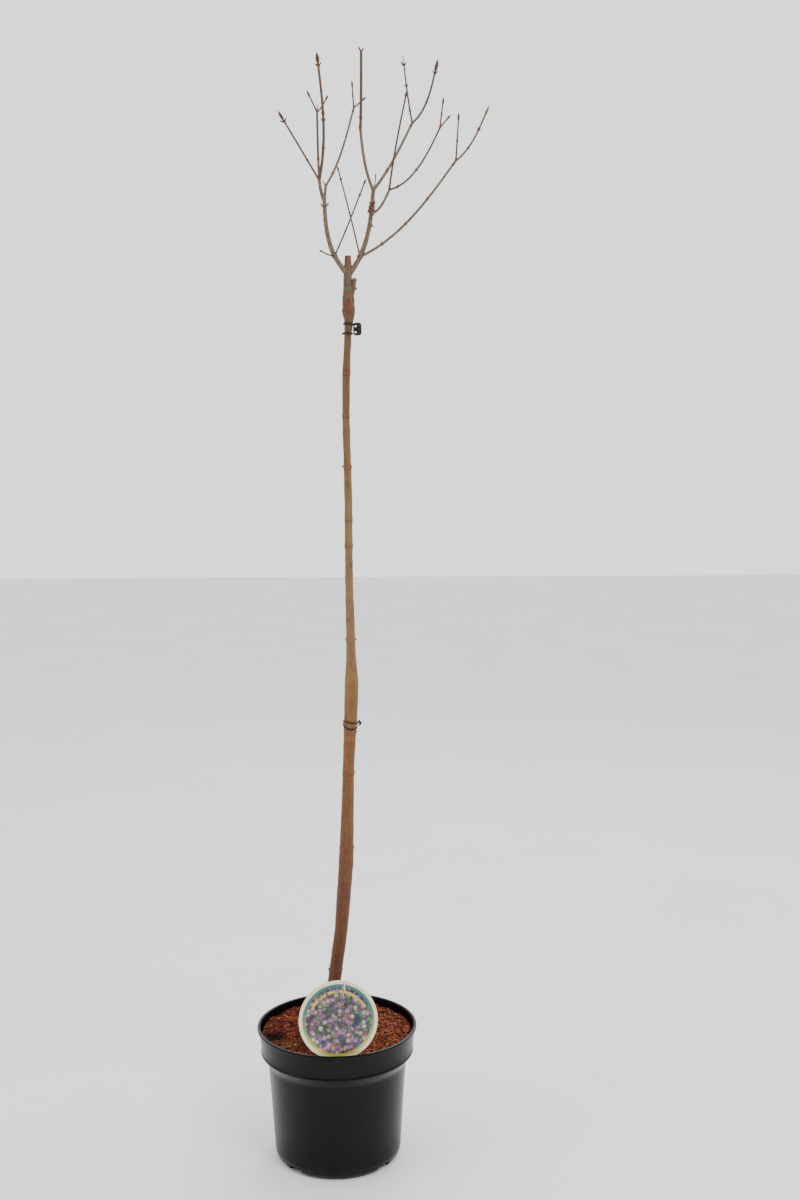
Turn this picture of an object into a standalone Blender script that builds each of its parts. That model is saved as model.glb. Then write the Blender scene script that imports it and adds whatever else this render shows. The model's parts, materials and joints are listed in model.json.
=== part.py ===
# Bare sycamore maple in winter, grafted as a small standard: a clear stem, a little crown of
# opposite twigs, and a round nursery pot filled with bark mix.
# Metres, +Z up. The origin is the centre of the pot's flat underside, and +Y points to the back.

import math
from typing import NamedTuple

import bmesh
import bpy
from mathutils import Matrix, Vector, noise

MM = 0.001
CLEARANCE = 0.3 * MM
SMOOTH_ANGLE = math.radians(40)

# Pot
POT_SIDES = 44
POT_HEIGHT = 212 * MM
POT_WALL = 2.2 * MM
POT_FLOOR = 3 * MM
LIP_RADIUS = 126.2 * MM
LIP_DEPTH = 5 * MM
LIP_INNER_RADIUS = 121.6 * MM
BAND_TOP_RADIUS = 123 * MM
BAND_TOP = 205 * MM
BAND_FOOT_RADIUS = 120.4 * MM
BAND_FOOT = 171 * MM
BEAD = 4.5 * MM
WALL_TOP_RADIUS = 109.5 * MM
WALL_TOP = 156 * MM
WALL_FOOT_RADIUS = 100 * MM
WALL_FOOT = 14 * MM
FOOT_RADIUS = 92 * MM
FOOT_CURVE_STEPS = 3

# Drain notches in the pot's lower edge
NOTCH_COUNT = 4
NOTCH_COMPASS = -131
NOTCH_WIDTH = 26 * MM
NOTCH_HEIGHT = 9 * MM
NOTCH_INNER_RADIUS = 84 * MM

# Bark mix
MIX_TOP = 199 * MM
MIX_RINGS = 6
MIX_LUMP = 3 * MM
MIX_LUMP_SIZE = 26 * MM
MIX_LEVEL_RADIUS = 36 * MM
MIX_FADE = 20 * MM
HOLLOW_PLACE = (-97 * MM, -22 * MM)
HOLLOW_RADIUS = 22 * MM
HOLLOW_DEPTH = 11 * MM

# Round picture label on its stalk
LABEL_CENTRE = (6.8 * MM, -104 * MM, 260.5 * MM)
LABEL_RADIUS = 60 * MM
LABEL_THICK = 0.8 * MM
LABEL_LEAN = 8
LABEL_TURN = 6.5
LABEL_SIDES = 40
LABEL_HOLE = (11 * MM, 22 * MM)
LABEL_HOLE_RADIUS = 2.6 * MM
LABEL_SLIT = 1 * MM
STALK_WIDTH = 10 * MM
STALK_LENGTH = 13 * MM
STALK_ROOT = 4 * MM

# Trunk: height above the pot's underside, sideways place and diameter, from the mix to the cut leader
TRUNK_SIDES = 12
TRUNK_STEP = 22 * MM
TRUNK_STATIONS = (
    (199.3, -15.5, 28),
    (216, -12.8, 22.5),
    (283, -3.5, 20.7),
    (365, 8, 20.8),
    (470, 16.5, 23.4),
    (575, 20.5, 19.2),
    (635, 22.3, 18),
    (717, 26.5, 21.2),
    (757, 28, 21.8),
    (803, 27.6, 14.8),
    (920, 25.5, 12.2),
    (1040, 25.5, 12),
    (1170, 23, 11.2),
    (1230, 24, 12.2),
    (1285, 26.8, 10.6),
    (1312, 28.6, 14),
    (1325, 28.6, 20.5),
    (1345, 28.2, 17),
    (1362, 27.4, 13.4),
    (1385, 27.8, 12),
    (1406, 28.3, 8.8),
)
# Leaf-scar rings and dormant buds on the trunk: height, compass of the first of the pair, size
TRUNK_KNOTS = (
    (300, 180, 4.4),
    (498, 10, 4.2),
    (618, 5, 3.6),
    (683, -10, 3.8),
    (827, 5, 3.6),
    (972, -20, 2.6),
    (1092, 175, 3.6),
)
KNOT_SIDES = 6
SNAG_FOOT = 1338 * MM
SNAG_LENGTH = 36 * MM
SNAG_DIAMETER = 5.6 * MM
SNAG_COMPASS = -8
SNAG_LEAN = (30, 8)
SNAG_KNOB_RADIUS = 3.4 * MM

# Limbs
PATH_STEPS = 32
TURN_POWER = 2
BOUGH_SIDES = 8
BOUGH_STEP = 13 * MM
TWIG_SIDES = 6
TWIG_STEP = 14 * MM
BOUGH_THICKNESS = 3.7
KNUCKLE = 1.22
NODE_SWELL = 0.3
NODE_WIDTH = 2.4 * MM
SEAT_SPAN = 4 * MM
BUD_PROFILE = ((0.1, 0.82), (0.3, 1.6), (0.52, 1.75), (0.8, 0.9), (1.0, 0.16))
SIDE_BUD_SIDES = 4
SIDE_BUD_LENGTH = 5 * MM
SIDE_BUD_RADIUS = 1.15 * MM
SIDE_BUD_LEAN = 32
TWIN_BUD_LENGTH = 8 * MM
TWIN_BUD_RADIUS = 1.7 * MM

# Burr and snapped ring on the right bough
BURR_ALONG = 0.8
BURR_LUMPS = 6
BURR_RADIUS = 3.4 * MM
RING_STUB_ALONG = 0.6

# Ties
TIE_SIDES = 16
TIE_THICK = 1.3 * MM
TIE_BAND = 2.6 * MM
LOWER_TIE_HEIGHTS = (693 * MM, 701 * MM)
LOWER_TIE_TILTS = (-6, 7)
LOWER_KNOT_SIZE = (6 * MM, 5 * MM, 9 * MM)
UPPER_TIE_HEIGHTS = (1291 * MM, 1303 * MM)
UPPER_TIE_TILTS = (5, -4)
UPPER_CLIP_SIZE = (12 * MM, 8 * MM, 19 * MM)
TIE_FIT = 0.5 * MM


class Limb(NamedTuple):
    """One tapering limb: where it springs from, how it leans and turns up, and how it ends."""

    solid: str
    name: str
    parent: str
    along: float
    compass: float
    lean: tuple
    length: float
    thick: tuple
    nodes: tuple = ()
    end: str = "fork"
    bud: float = 0


# Angles are degrees: compass from +X towards +Y, lean from upright at the root and the tip.
# Lengths and diameters are millimetres; along and nodes run from 0 at the root to 1 at the tip.
LIMBS = (
    Limb("left_bough", "left_bough", "trunk", 0.9785, -164, (51, 2), 115, (7.4, 5.8), (0.28, 0.93)),
    Limb("left_outer_bough", "left_outer_bough", "left_bough", 1, -137, (39, 7), 31, (4.8, 4.5)),
    Limb("left_outer_twigs", "outer_stem", "left_outer_bough", 0.93, -133, (42, 43), 103,
         (2.9, 2.4), (0.35, 0.98), "bud", 17),
    Limb("left_middle_twigs", "middle_stem", "left_outer_bough", 0.93, 96, (48, 10), 118,
         (3.5, 3.1), (0.37,)),
    Limb("left_middle_twigs", "middle_west", "middle_stem", 1, -156, (27, 29), 24, (2.4, 2.0),
         (), "bud", 11),
    Limb("left_middle_twigs", "middle_east", "middle_stem", 1, 50, (56, 36), 28, (2.4, 2.0),
         (), "bud", 11),
    Limb("left_middle_twigs", "middle_dead", "middle_stem", 1, 74, (18, 18), 12, (1.5, 1.1),
         (), "cut"),
    Limb("left_leader_twigs", "leader_stem", "left_outer_bough", 1, -18, (14, -7), 166,
         (4.2, 3.4), (0.27, 0.51, 0.57, 0.98), "bud", 16),
    Limb("left_inner_stem", "left_inner_stem", "left_bough", 1, 82, (37, 26), 26, (4.3, 3.9)),
    Limb("left_inner_stem", "inner_dead", "left_inner_stem", 1, 190, (38, 30), 8, (1.6, 1.2),
         (), "cut"),
    Limb("left_inner_bough", "left_inner_bough", "left_inner_stem", 1, 57, (46, 24), 139,
         (3.3, 2.9), (0.2,)),
    Limb("left_inner_twigs", "inner_fork", "left_inner_bough", 1, 57, (24, 24), 8, (2.9, 2.8)),
    Limb("left_inner_twigs", "inner_west", "inner_fork", 1, 114, (14, 8), 31, (2.3, 1.9),
         (0.6,), "bud", 12),
    Limb("left_inner_twigs", "inner_east", "inner_fork", 1, 24, (53, 48), 17, (2.4, 2.0),
         (), "bud", 11),
    Limb("front_crossing_twigs", "front_stem", "left_bough", 0.28, -45, (37, 32), 116,
         (2.3, 1.9), (0.35, 0.85), "bud", 9),
    Limb("short_left_twigs", "short_stem", "left_bough", 0.28, -135, (95, 73), 25, (2.2, 1.8),
         (), "bud", 7),
    Limb("right_bough", "right_bough", "trunk", 0.976, 12, (43, 5), 134, (7.8, 5.8), (0.25,)),
    Limb("right_bough", "dead_snag", "right_bough", 1, -48, (34, 4), 24, (1.6, 1.3), (0.9,), "cut"),
    Limb("rear_crossing_twigs", "rear_stem", "right_bough", 0.25, 126, (20, 24), 144,
         (2.4, 1.9), (0.5, 0.9), "bud", 9),
    Limb("low_right_bough", "low_right_bough", "right_bough", 0.25, -13, (68, 38), 192,
         (3.9, 3.0), (0.2, 0.44, 0.69)),
    Limb("low_right_twigs", "low_fork", "low_right_bough", 1, -13, (38, 38), 8, (3.0, 2.9)),
    Limb("low_right_twigs", "low_west", "low_fork", 1, -63, (9, 7), 56, (2.4, 1.9), (0.5,),
         "bud", 12),
    Limb("low_right_twigs", "low_east", "low_fork", 1, -34, (64, 29), 75, (2.6, 2.2),
         (0.35, 0.75), "bud", 19),
    Limb("centre_bough", "centre_bough", "right_bough", 1, -131, (38, 8), 90, (4.4, 4.0)),
    Limb("centre_leader_twigs", "centre_stem", "centre_bough", 1, -77, (12, 2), 108,
         (4.0, 3.9), (0.15,), "twin"),
    Limb("right_upper_bough", "right_upper_bough", "right_bough", 1, 41, (45, 32), 125,
         (4.4, 3.5), (0.33,)),
    Limb("right_upper_twigs", "upper_fork", "right_upper_bough", 1, 41, (32, 32), 8, (3.5, 3.4)),
    Limb("right_upper_twigs", "upper_west", "upper_fork", 1, 134, (16, 9), 88, (2.6, 2.1),
         (0.22, 0.66), "twin", 16),
    Limb("right_upper_twigs", "upper_east", "upper_fork", 1, 40, (55, 17), 96, (3.3, 2.8),
         (0.47, 0.98), "bud", 21),
    Limb("burr_bough", "burr_bough", "right_bough", 0.75, -52, (95, 39), 55, (3.9, 3.3)),
    Limb("burr_right_twigs", "burr_right_stem", "burr_bough", 1, -42, (88, 35), 128,
         (2.8, 2.3), (0.12, 0.45)),
    Limb("burr_right_twigs", "burr_west", "burr_right_stem", 1, -40, (7, 10), 31, (2.2, 1.8),
         (0.6,), "bud", 11),
    Limb("burr_right_twigs", "burr_east", "burr_right_stem", 1, -33, (48, 49), 15, (2.1, 1.8),
         (), "bud", 9),
    Limb("burr_upright_twigs", "burr_upright_stem", "burr_bough", 1, -53, (12, 21), 131,
         (2.9, 2.3), (0.28,), "bud", 9),
)
TWIG_MASSES = tuple(dict.fromkeys(limb.solid for limb in LIMBS if limb.solid.endswith("_twigs")))


def finish(name, colour, roughness):
    """A Principled material of one colour."""
    material = bpy.data.materials.new(name)
    material.use_nodes = True
    shader = material.node_tree.nodes["Principled BSDF"]
    shader.inputs["Base Color"].default_value = (*colour, 1)
    shader.inputs["Roughness"].default_value = roughness
    shader.inputs["Metallic"].default_value = 0
    return material


def mesh_object(name, shape, material):
    """Makes a linked object from a bmesh, its faces turned outward and shaded smooth."""
    bmesh.ops.recalc_face_normals(shape, faces=shape.faces)
    mesh = bpy.data.meshes.new(name)
    shape.to_mesh(mesh)
    shape.free()
    mesh.materials.append(material)
    mesh.shade_smooth()
    mesh.set_sharp_from_angle(angle=SMOOTH_ANGLE)
    made = bpy.data.objects.new(name, mesh)
    bpy.context.scene.collection.objects.link(made)
    return made


def apply_boolean(body, operation, others):
    """Joins or cuts body with the other objects in one Boolean on a collection, and removes them."""
    helpers = bpy.data.collections.new("helpers")
    bpy.context.scene.collection.children.link(helpers)
    for other in others:
        bpy.context.scene.collection.objects.unlink(other)
        helpers.objects.link(other)
        other.display_type = "WIRE"
        other.hide_render = True
    change = body.modifiers.new("change", "BOOLEAN")
    change.operation = operation
    change.operand_type = "COLLECTION"
    change.collection = helpers
    graph = bpy.context.evaluated_depsgraph_get()
    result = bpy.data.meshes.new_from_object(body.evaluated_get(graph))
    body.modifiers.clear()
    body.data = result
    body.data.shade_smooth()
    body.data.set_sharp_from_angle(angle=SMOOTH_ANGLE)
    for other in others:
        bpy.data.objects.remove(other)
    bpy.data.collections.remove(helpers)
    return body


def loft(rings):
    """Closed bmesh through rings of equally many points, with flat ends."""
    shape = bmesh.new()
    made = [[shape.verts.new(point) for point in ring] for ring in rings]
    for low, high in zip(made, made[1:]):
        for side in range(len(low)):
            after = (side + 1) % len(low)
            shape.faces.new((low[side], low[after], high[after], high[side]))
    shape.faces.new(reversed(made[0]))
    shape.faces.new(made[-1])
    return shape


def circle(radius, height, sides):
    """Points of a level circle about the Z axis."""
    turns = [2 * math.pi * side / sides for side in range(sides)]
    return [Vector((radius * math.cos(t), radius * math.sin(t), height)) for t in turns]


def heading(compass, lean):
    """Unit direction that leans from upright towards a compass angle, in degrees."""
    turn, tip = math.radians(compass), math.radians(lean)
    return Vector((math.sin(tip) * math.cos(turn), math.sin(tip) * math.sin(turn), math.cos(tip)))


def between(value, table):
    """Straight-line reading of a table of (position, value) pairs."""
    for (low, at_low), (high, at_high) in zip(table, table[1:]):
        if value <= high:
            return at_low + (at_high - at_low) * max(0, value - low) / (high - low)
    return table[-1][1]


def smooth_step(value):
    """Eases from 0 to 1 as value goes from 0 to 1."""
    value = min(1, max(0, value))
    return value * value * (3 - 2 * value)


class Stem:
    """A limb's centre line and radius, read at a place along it from 0 to 1."""

    def __init__(self, points, radius_at, solid):
        self.points = points
        self.radius_at = radius_at
        self.solid = solid
        self.length = sum((b - a).length for a, b in zip(points, points[1:]))

    def point_at(self, along):
        place = min(1, max(0, along)) * (len(self.points) - 1)
        step = min(int(place), len(self.points) - 2)
        return self.points[step].lerp(self.points[step + 1], place - step)

    def direction_at(self, along):
        reach = 0.5 / (len(self.points) - 1)
        return (self.point_at(along + reach) - self.point_at(along - reach)).normalized()

    def widest_near(self, along, span=SEAT_SPAN):
        reach = span / self.length
        widest = max(self.radius_at(along + shift * reach) for shift in (-1, -0.5, 0, 0.5, 1))
        return widest if along + reach < 1 else max(widest, self.radius_at(1) * KNUCKLE)


def ring_about(centre, direction, across, radius, sides):
    """Ring of points square to direction; across is the side that the first point is on."""
    across = (across - direction * across.dot(direction)).normalized()
    other = direction.cross(across)
    turns = [2 * math.pi * side / sides for side in range(sides)]
    return [centre + radius * (math.cos(t) * across + math.sin(t) * other) for t in turns]


def slid_to_plane(ring, direction, plane_point, normal):
    """Slides a ring's points along direction until they lie in a plane."""
    rate = direction.dot(normal)
    return [point + direction * ((plane_point - point).dot(normal) / rate) for point in ring]


def limb_path(start, limb):
    """Centre line that turns from its root's lean to its tip's lean, fastest near the root."""
    root_lean, tip_lean = limb.lean
    step_length = limb.length * MM / PATH_STEPS
    points = [start.copy()]
    for step in range(PATH_STEPS):
        left = 1 - (step + 0.5) / PATH_STEPS
        lean = tip_lean + (root_lean - tip_lean) * left**TURN_POWER
        points.append(points[-1] + heading(limb.compass, lean) * step_length)
    return points


def limb_radius(limb):
    """Radius along a limb: a straight taper with a swelling at each node."""
    root, tip = (diameter / 2 * MM for diameter in limb.thick)
    width = NODE_WIDTH / (limb.length * MM)

    def radius_at(along):
        along = min(1, max(0, along))
        swell = sum(math.exp(-(((along - node) / width) ** 2)) for node in limb.nodes)
        return (root + (tip - root) * along) * (1 + NODE_SWELL * min(1, swell))

    return radius_at


def limb_places(limb):
    """Places along a limb that get a ring: even steps, and each node with its two flanks."""
    step = BOUGH_STEP if limb.thick[0] > BOUGH_THICKNESS else TWIG_STEP
    steps = max(2, round(limb.length * MM / step))
    width = 1.6 * NODE_WIDTH / (limb.length * MM)
    flanks = [node + shift * width for node in limb.nodes for shift in (-1, 0, 1)]
    flanks = [place for place in flanks if 0 < place < 1]
    even = [step / steps for step in range(steps + 1)]
    kept = [place for place in even if all(abs(place - flank) > width / 2 for flank in flanks)]
    return sorted({0.0, 1.0, *flanks, *kept})


def root_of(stem, limb, parent):
    """Place where the limb's solid starts, and the plane that its root lies in, if any."""
    if parent.solid == limb.solid:
        return 0.0, None
    out = stem.direction_at(0)
    if limb.along == 1:
        gap = parent.radius_at(1) * KNUCKLE + CLEARANCE
    else:
        axis = parent.direction_at(limb.along)
        slant = out.angle(axis)
        out = (out - axis * out.dot(axis)).normalized()
        # The root lies a little way up the parent from where the two centre lines meet.
        rise = parent.radius_at(limb.along) / math.tan(slant) / parent.length
        gap = parent.widest_near(limb.along + rise, stem.radius_at(0) / math.sin(slant)) + CLEARANCE
    start = stem.points[0]
    fine = 400
    for step in range(fine):
        if (stem.point_at(step / fine) - start).dot(out) >= gap:
            return step / fine, (start + out * gap, out)
    raise ValueError(f"{limb.name} never leaves its parent")


def limb_rings(stem, limb, parent, sides):
    """Rings from the root to the end, with a rounded knuckle, a bud or a flat cut there."""
    root, plane = root_of(stem, limb, parent)
    across = Vector((0, -1, 0.1))
    radius = stem.radius_at(root)
    # The first ring past a slanted root stands clear of that slant.
    slant = 0.0 if plane is None else 1.3 * radius / stem.length
    places = [root] + [place for place in limb_places(limb) if place > root + slant]
    rings = [
        ring_about(stem.point_at(p), stem.direction_at(p), across, stem.radius_at(p), sides)
        for p in places
    ]
    if plane is not None:
        rings[0] = slid_to_plane(rings[0], stem.direction_at(root), *plane)
    tip, direction = stem.points[-1], stem.direction_at(1)
    radius = stem.radius_at(1)
    if limb.end in ("fork", "twin"):
        radius *= KNUCKLE
        rings[-1] = ring_about(tip - direction * radius * 0.5, direction, across,
                               radius * 0.86, sides)
        for angle in (0, 45, 75):
            turn = math.radians(angle)
            rings.append(ring_about(tip + direction * radius * math.sin(turn), direction, across,
                                    radius * math.cos(turn), sides))
    elif limb.end == "bud":
        for place, width in BUD_PROFILE:
            rings.append(ring_about(tip + direction * place * limb.bud * MM, direction, across,
                                    radius * width, sides))
    return rings


def bud_shape(place, direction, length, radius, sides):
    """A small pointed bud whose foot lies inside its twig."""
    across = direction.orthogonal()
    profile = ((-0.25, 0.6), (0.15, 0.9), (0.45, 1.0), (0.8, 0.5), (1.0, 0.12))
    return loft([
        ring_about(place + direction * at * length, direction, across, radius * width, sides)
        for at, width in profile
    ])


def side_buds(stem, limb, material):
    """Opposite pairs of buds at a twig's nodes, each pair square to the last."""
    made = []
    for count, node in enumerate(limb.nodes):
        axis = stem.direction_at(node)
        first = axis.orthogonal()
        out = Matrix.Rotation(math.radians(35 + 90 * count), 3, axis) @ first
        for sign in (1, -1):
            lean = math.radians(SIDE_BUD_LEAN)
            direction = (axis * math.cos(lean) + sign * out * math.sin(lean)).normalized()
            place = stem.point_at(node) + sign * out * stem.radius_at(node) * 0.75
            shape = bud_shape(place, direction, SIDE_BUD_LENGTH, SIDE_BUD_RADIUS, SIDE_BUD_SIDES)
            made.append(mesh_object("bud", shape, material))
    return made


def twin_end(stem, limb, material):
    """Two horn-like buds at a blunt tip, and between them the withered stalk of last year."""
    made = []
    axis = stem.direction_at(1)
    out = Vector((1, 0.2, 0))
    out = (out - axis * out.dot(axis)).normalized()
    for sign, scale in ((-1, 1.0), (1, 0.8)):
        direction = (axis * 0.86 + sign * out * 0.5).normalized()
        place = stem.points[-1] + direction * stem.radius_at(1) * 0.4
        shape = bud_shape(place, direction, TWIN_BUD_LENGTH * scale, TWIN_BUD_RADIUS,
                          SIDE_BUD_SIDES + 1)
        made.append(mesh_object("bud", shape, material))
    if limb.bud:
        tip = stem.points[-1]
        rings = [
            ring_about(tip + axis * limb.bud * MM * at, axis, out, width * MM, TWIG_SIDES)
            for at, width in ((0, 0.8), (0.7, 0.7), (1, 0.9))
        ]
        made.append(mesh_object("stalk", loft(rings), material))
    return made


def trunk_stem():
    """The trunk's gently wandering centre line and its measured girth."""
    sideways = [(height, place) for height, place, _ in TRUNK_STATIONS]
    girth = [(height, diameter / 2) for height, _, diameter in TRUNK_STATIONS]
    low, high = TRUNK_STATIONS[0][0], TRUNK_STATIONS[-1][0]
    count = 180
    heights = [low + (high - low) * step / count for step in range(count + 1)]
    points = [Vector((between(height, sideways), 0, height)) * MM for height in heights]

    def radius_at(along):
        return between(low + (high - low) * min(1, max(0, along)), girth) * MM

    return Stem(points, radius_at, "trunk")


def trunk_along(height):
    """Place along the trunk of a height above the pot's underside, in metres."""
    low, high = TRUNK_STATIONS[0][0] * MM, TRUNK_STATIONS[-1][0] * MM
    return (height - low) / (high - low)


def make_trunk(trunk, material):
    """The trunk, with its knots, the swollen graft, the cut snag beside it and the cut leader."""
    low, high = TRUNK_STATIONS[0][0] * MM, TRUNK_STATIONS[-1][0] * MM
    stations = [station[0] * MM for station in TRUNK_STATIONS]
    steps = round((high - low) / TRUNK_STEP)
    even = [low + (high - low) * step / steps for step in range(1, steps)]
    kept = [h for h in even if all(abs(h - station) > TRUNK_STEP / 3 for station in stations)]
    across = Vector((1, 0, 0))
    rings = []
    for height in sorted(stations + kept):
        along = trunk_along(height)
        # Level rings keep the foot's flat cut and the leader's flat top.
        rings.append(ring_about(trunk.point_at(along), Vector((0, 0, 1)), across,
                                trunk.radius_at(along), TRUNK_SIDES))
    body = mesh_object("trunk", loft(rings), material)
    extras = []
    for height, compass, size in TRUNK_KNOTS:
        along = trunk_along(height * MM)
        for turn, scale in ((compass, 1), (compass + 180, 0.8)):
            out = heading(turn, 78)
            place = trunk.point_at(along) + out * trunk.radius_at(along) * 0.8
            shape = bud_shape(place, out, size * MM * scale, size * MM * 0.62 * scale, KNOT_SIDES)
            extras.append(mesh_object("knot", shape, material))
    snag = Limb("trunk", "snag", "trunk", trunk_along(SNAG_FOOT), SNAG_COMPASS, SNAG_LEAN,
                SNAG_LENGTH / MM, (SNAG_DIAMETER / MM, SNAG_DIAMETER / MM), (), "cut")
    stem = Stem(limb_path(trunk.point_at(snag.along) + Vector((2 * MM, 0, 0)), snag),
                limb_radius(snag), "trunk")
    extras.append(mesh_object("snag", loft(limb_rings(stem, snag, trunk, BOUGH_SIDES)), material))
    knob = bmesh.new()
    bmesh.ops.create_icosphere(knob, subdivisions=1, radius=SNAG_KNOB_RADIUS)
    bmesh.ops.translate(knob, verts=knob.verts,
                        vec=stem.point_at(0.62) + Vector((SNAG_DIAMETER / 2 + 1 * MM, 0, 0)))
    extras.append(mesh_object("knob", knob, material))
    return apply_boolean(body, "UNION", extras)


def burr_on(stem, material):
    """The knobbly burr and the snapped ring stub that the right bough carries."""
    made = []
    turn = 137.5
    for count in range(BURR_LUMPS):
        along = BURR_ALONG + 0.1 * (count / (BURR_LUMPS - 1) - 0.5)
        out = heading(count * turn, 80)
        place = stem.point_at(along) + out * stem.radius_at(along) * 0.75
        lump = bmesh.new()
        bmesh.ops.create_icosphere(lump, subdivisions=1,
                                   radius=BURR_RADIUS * (0.75 if count % 2 else 0.6))
        bmesh.ops.translate(lump, verts=lump.verts, vec=place)
        made.append(mesh_object("burr", lump, material))
    out = heading(-10, 70)
    place = stem.point_at(RING_STUB_ALONG)
    rings = [ring_about(place + out * reach * MM, out, Vector((0, 0, 1)), width * MM, BOUGH_SIDES)
             for reach, width in ((0, 2.2), (4.4, 2.2), (4.8, 2.6), (6, 2.6))]
    made.append(mesh_object("ring_stub", loft(rings), material))
    return made


def make_limbs(trunk, bark, twig_bark):
    """Every bough and every mass of twigs, each joined into one solid."""
    stems = {"trunk": trunk}
    pieces = {}
    for limb in LIMBS:
        parent = stems[limb.parent]
        stem = Stem(limb_path(parent.point_at(limb.along), limb), limb_radius(limb), limb.solid)
        stems[limb.name] = stem
        in_mass = limb.solid in TWIG_MASSES
        material = twig_bark if in_mass else bark
        sides = BOUGH_SIDES if limb.thick[0] > BOUGH_THICKNESS else TWIG_SIDES
        rings = limb_rings(stem, limb, parent, sides)
        held = pieces.setdefault(limb.solid, [])
        held.append(mesh_object(limb.solid, loft(rings), material))
        if in_mass:
            held.extend(side_buds(stem, limb, material))
        if limb.end == "twin":
            held.extend(twin_end(stem, limb, material))
    pieces["right_bough"].extend(burr_on(stems["right_bough"], bark))
    for name, held in pieces.items():
        body, others = held[0], held[1:]
        if others:
            apply_boolean(body, "UNION", others)
        body.name = name


def wall_profile(inset):
    """Radius and height up the pot's wall, from foot to lip, moved inward by inset."""
    rise, out = WALL_FOOT, WALL_FOOT_RADIUS - FOOT_RADIUS
    turns = [math.pi / 2 * step / FOOT_CURVE_STEPS for step in range(FOOT_CURVE_STEPS + 1)]
    foot = [(FOOT_RADIUS + out * math.sin(t), rise * (1 - math.cos(t))) for t in turns]
    upper = [
        (WALL_TOP_RADIUS, WALL_TOP),
        (BAND_FOOT_RADIUS, BAND_FOOT),
        (BAND_FOOT_RADIUS, BAND_FOOT + BEAD),
        (BAND_TOP_RADIUS, BAND_TOP),
    ]
    return [(radius - inset, height) for radius, height in foot + upper]


def make_pot(material):
    """The pot: a tapered shell with a rim band, a rolled lip and drain notches in its foot."""
    outer = wall_profile(0)
    lip = [
        (LIP_RADIUS, POT_HEIGHT - LIP_DEPTH),
        (LIP_RADIUS, POT_HEIGHT - 1.2 * MM),
        (LIP_RADIUS - 1.2 * MM, POT_HEIGHT),
        (LIP_INNER_RADIUS, POT_HEIGHT),
    ]
    inner = [(radius, height) for radius, height in wall_profile(POT_WALL) if height > POT_FLOOR]
    floor = (FOOT_RADIUS, POT_FLOOR)
    profile = outer + lip + inner[::-1] + [floor]
    pot = mesh_object("pot", loft([circle(r, z, POT_SIDES) for r, z in profile]), material)
    notches = []
    depth = WALL_FOOT_RADIUS + 5 * MM - NOTCH_INNER_RADIUS
    for count in range(NOTCH_COUNT):
        notch = bmesh.new()
        bmesh.ops.create_cube(notch, size=1)
        bmesh.ops.scale(notch, vec=(depth, NOTCH_WIDTH, NOTCH_HEIGHT * 2), verts=notch.verts)
        bmesh.ops.translate(notch, vec=(NOTCH_INNER_RADIUS + depth / 2, 0, 0), verts=notch.verts)
        turn = math.radians(NOTCH_COMPASS + 360 * count / NOTCH_COUNT)
        bmesh.ops.rotate(notch, matrix=Matrix.Rotation(turn, 3, "Z"), verts=notch.verts)
        notches.append(mesh_object("notch", notch, material))
    return apply_boolean(pot, "DIFFERENCE", notches)


def mix_height(x, y):
    """Height of the bark mix: lumpy, level round the trunk, with one dark hollow by the wall."""
    foot = Vector((TRUNK_STATIONS[0][1] * MM, 0))
    away = (Vector((x, y)) - foot).length - MIX_LEVEL_RADIUS
    lump = noise.noise(Vector((x, y, 0.3)) / MIX_LUMP_SIZE) * MIX_LUMP
    hollow = 1 - (Vector((x, y)) - Vector(HOLLOW_PLACE)).length / HOLLOW_RADIUS
    return MIX_TOP + smooth_step(away / MIX_FADE) * lump - HOLLOW_DEPTH * smooth_step(hollow)


def make_mix(material, stalk_cutter):
    """The bark mix that fills the pot, with a slot that the label's stalk stands in."""
    inset = POT_WALL + CLEARANCE
    sides = [(r, z) for r, z in wall_profile(inset) if POT_FLOOR + CLEARANCE < z < MIX_TOP]
    rings = [circle(FOOT_RADIUS - CLEARANCE, POT_FLOOR + CLEARANCE, POT_SIDES)]
    rings += [circle(r, z, POT_SIDES) for r, z in sides]
    edge = BAND_FOOT_RADIUS - inset
    for count in range(MIX_RINGS, 0, -1):
        ring = circle(edge * count / MIX_RINGS, 0, POT_SIDES)
        rings.append([Vector((p.x, p.y, mix_height(p.x, p.y))) for p in ring])
    mix = mesh_object("potting_mix", loft(rings), material)
    return apply_boolean(mix, "DIFFERENCE", [stalk_cutter])


def label_frame():
    """Matrix that stands the label's own XY plane up, leaning back and turned a little right."""
    lean = Matrix.Rotation(math.radians(90 - LABEL_LEAN), 4, "X")
    turn = Matrix.Rotation(math.radians(LABEL_TURN), 4, "Z")
    return Matrix.Translation(LABEL_CENTRE) @ turn @ lean


def label_stalk(material, grow):
    """The label's stalk, or with grow the larger shape of its slot."""
    stalk = bmesh.new()
    bmesh.ops.create_cube(stalk, size=1)
    size = (STALK_WIDTH + 2 * grow, STALK_LENGTH + STALK_ROOT + grow, LABEL_THICK + 2 * grow)
    bmesh.ops.scale(stalk, vec=size, verts=stalk.verts)
    middle = -LABEL_RADIUS + STALK_ROOT - size[1] / 2
    bmesh.ops.translate(stalk, vec=(0, middle, 0), verts=stalk.verts)
    bmesh.ops.transform(stalk, matrix=label_frame(), verts=stalk.verts)
    return mesh_object("stalk", stalk, material)


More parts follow.
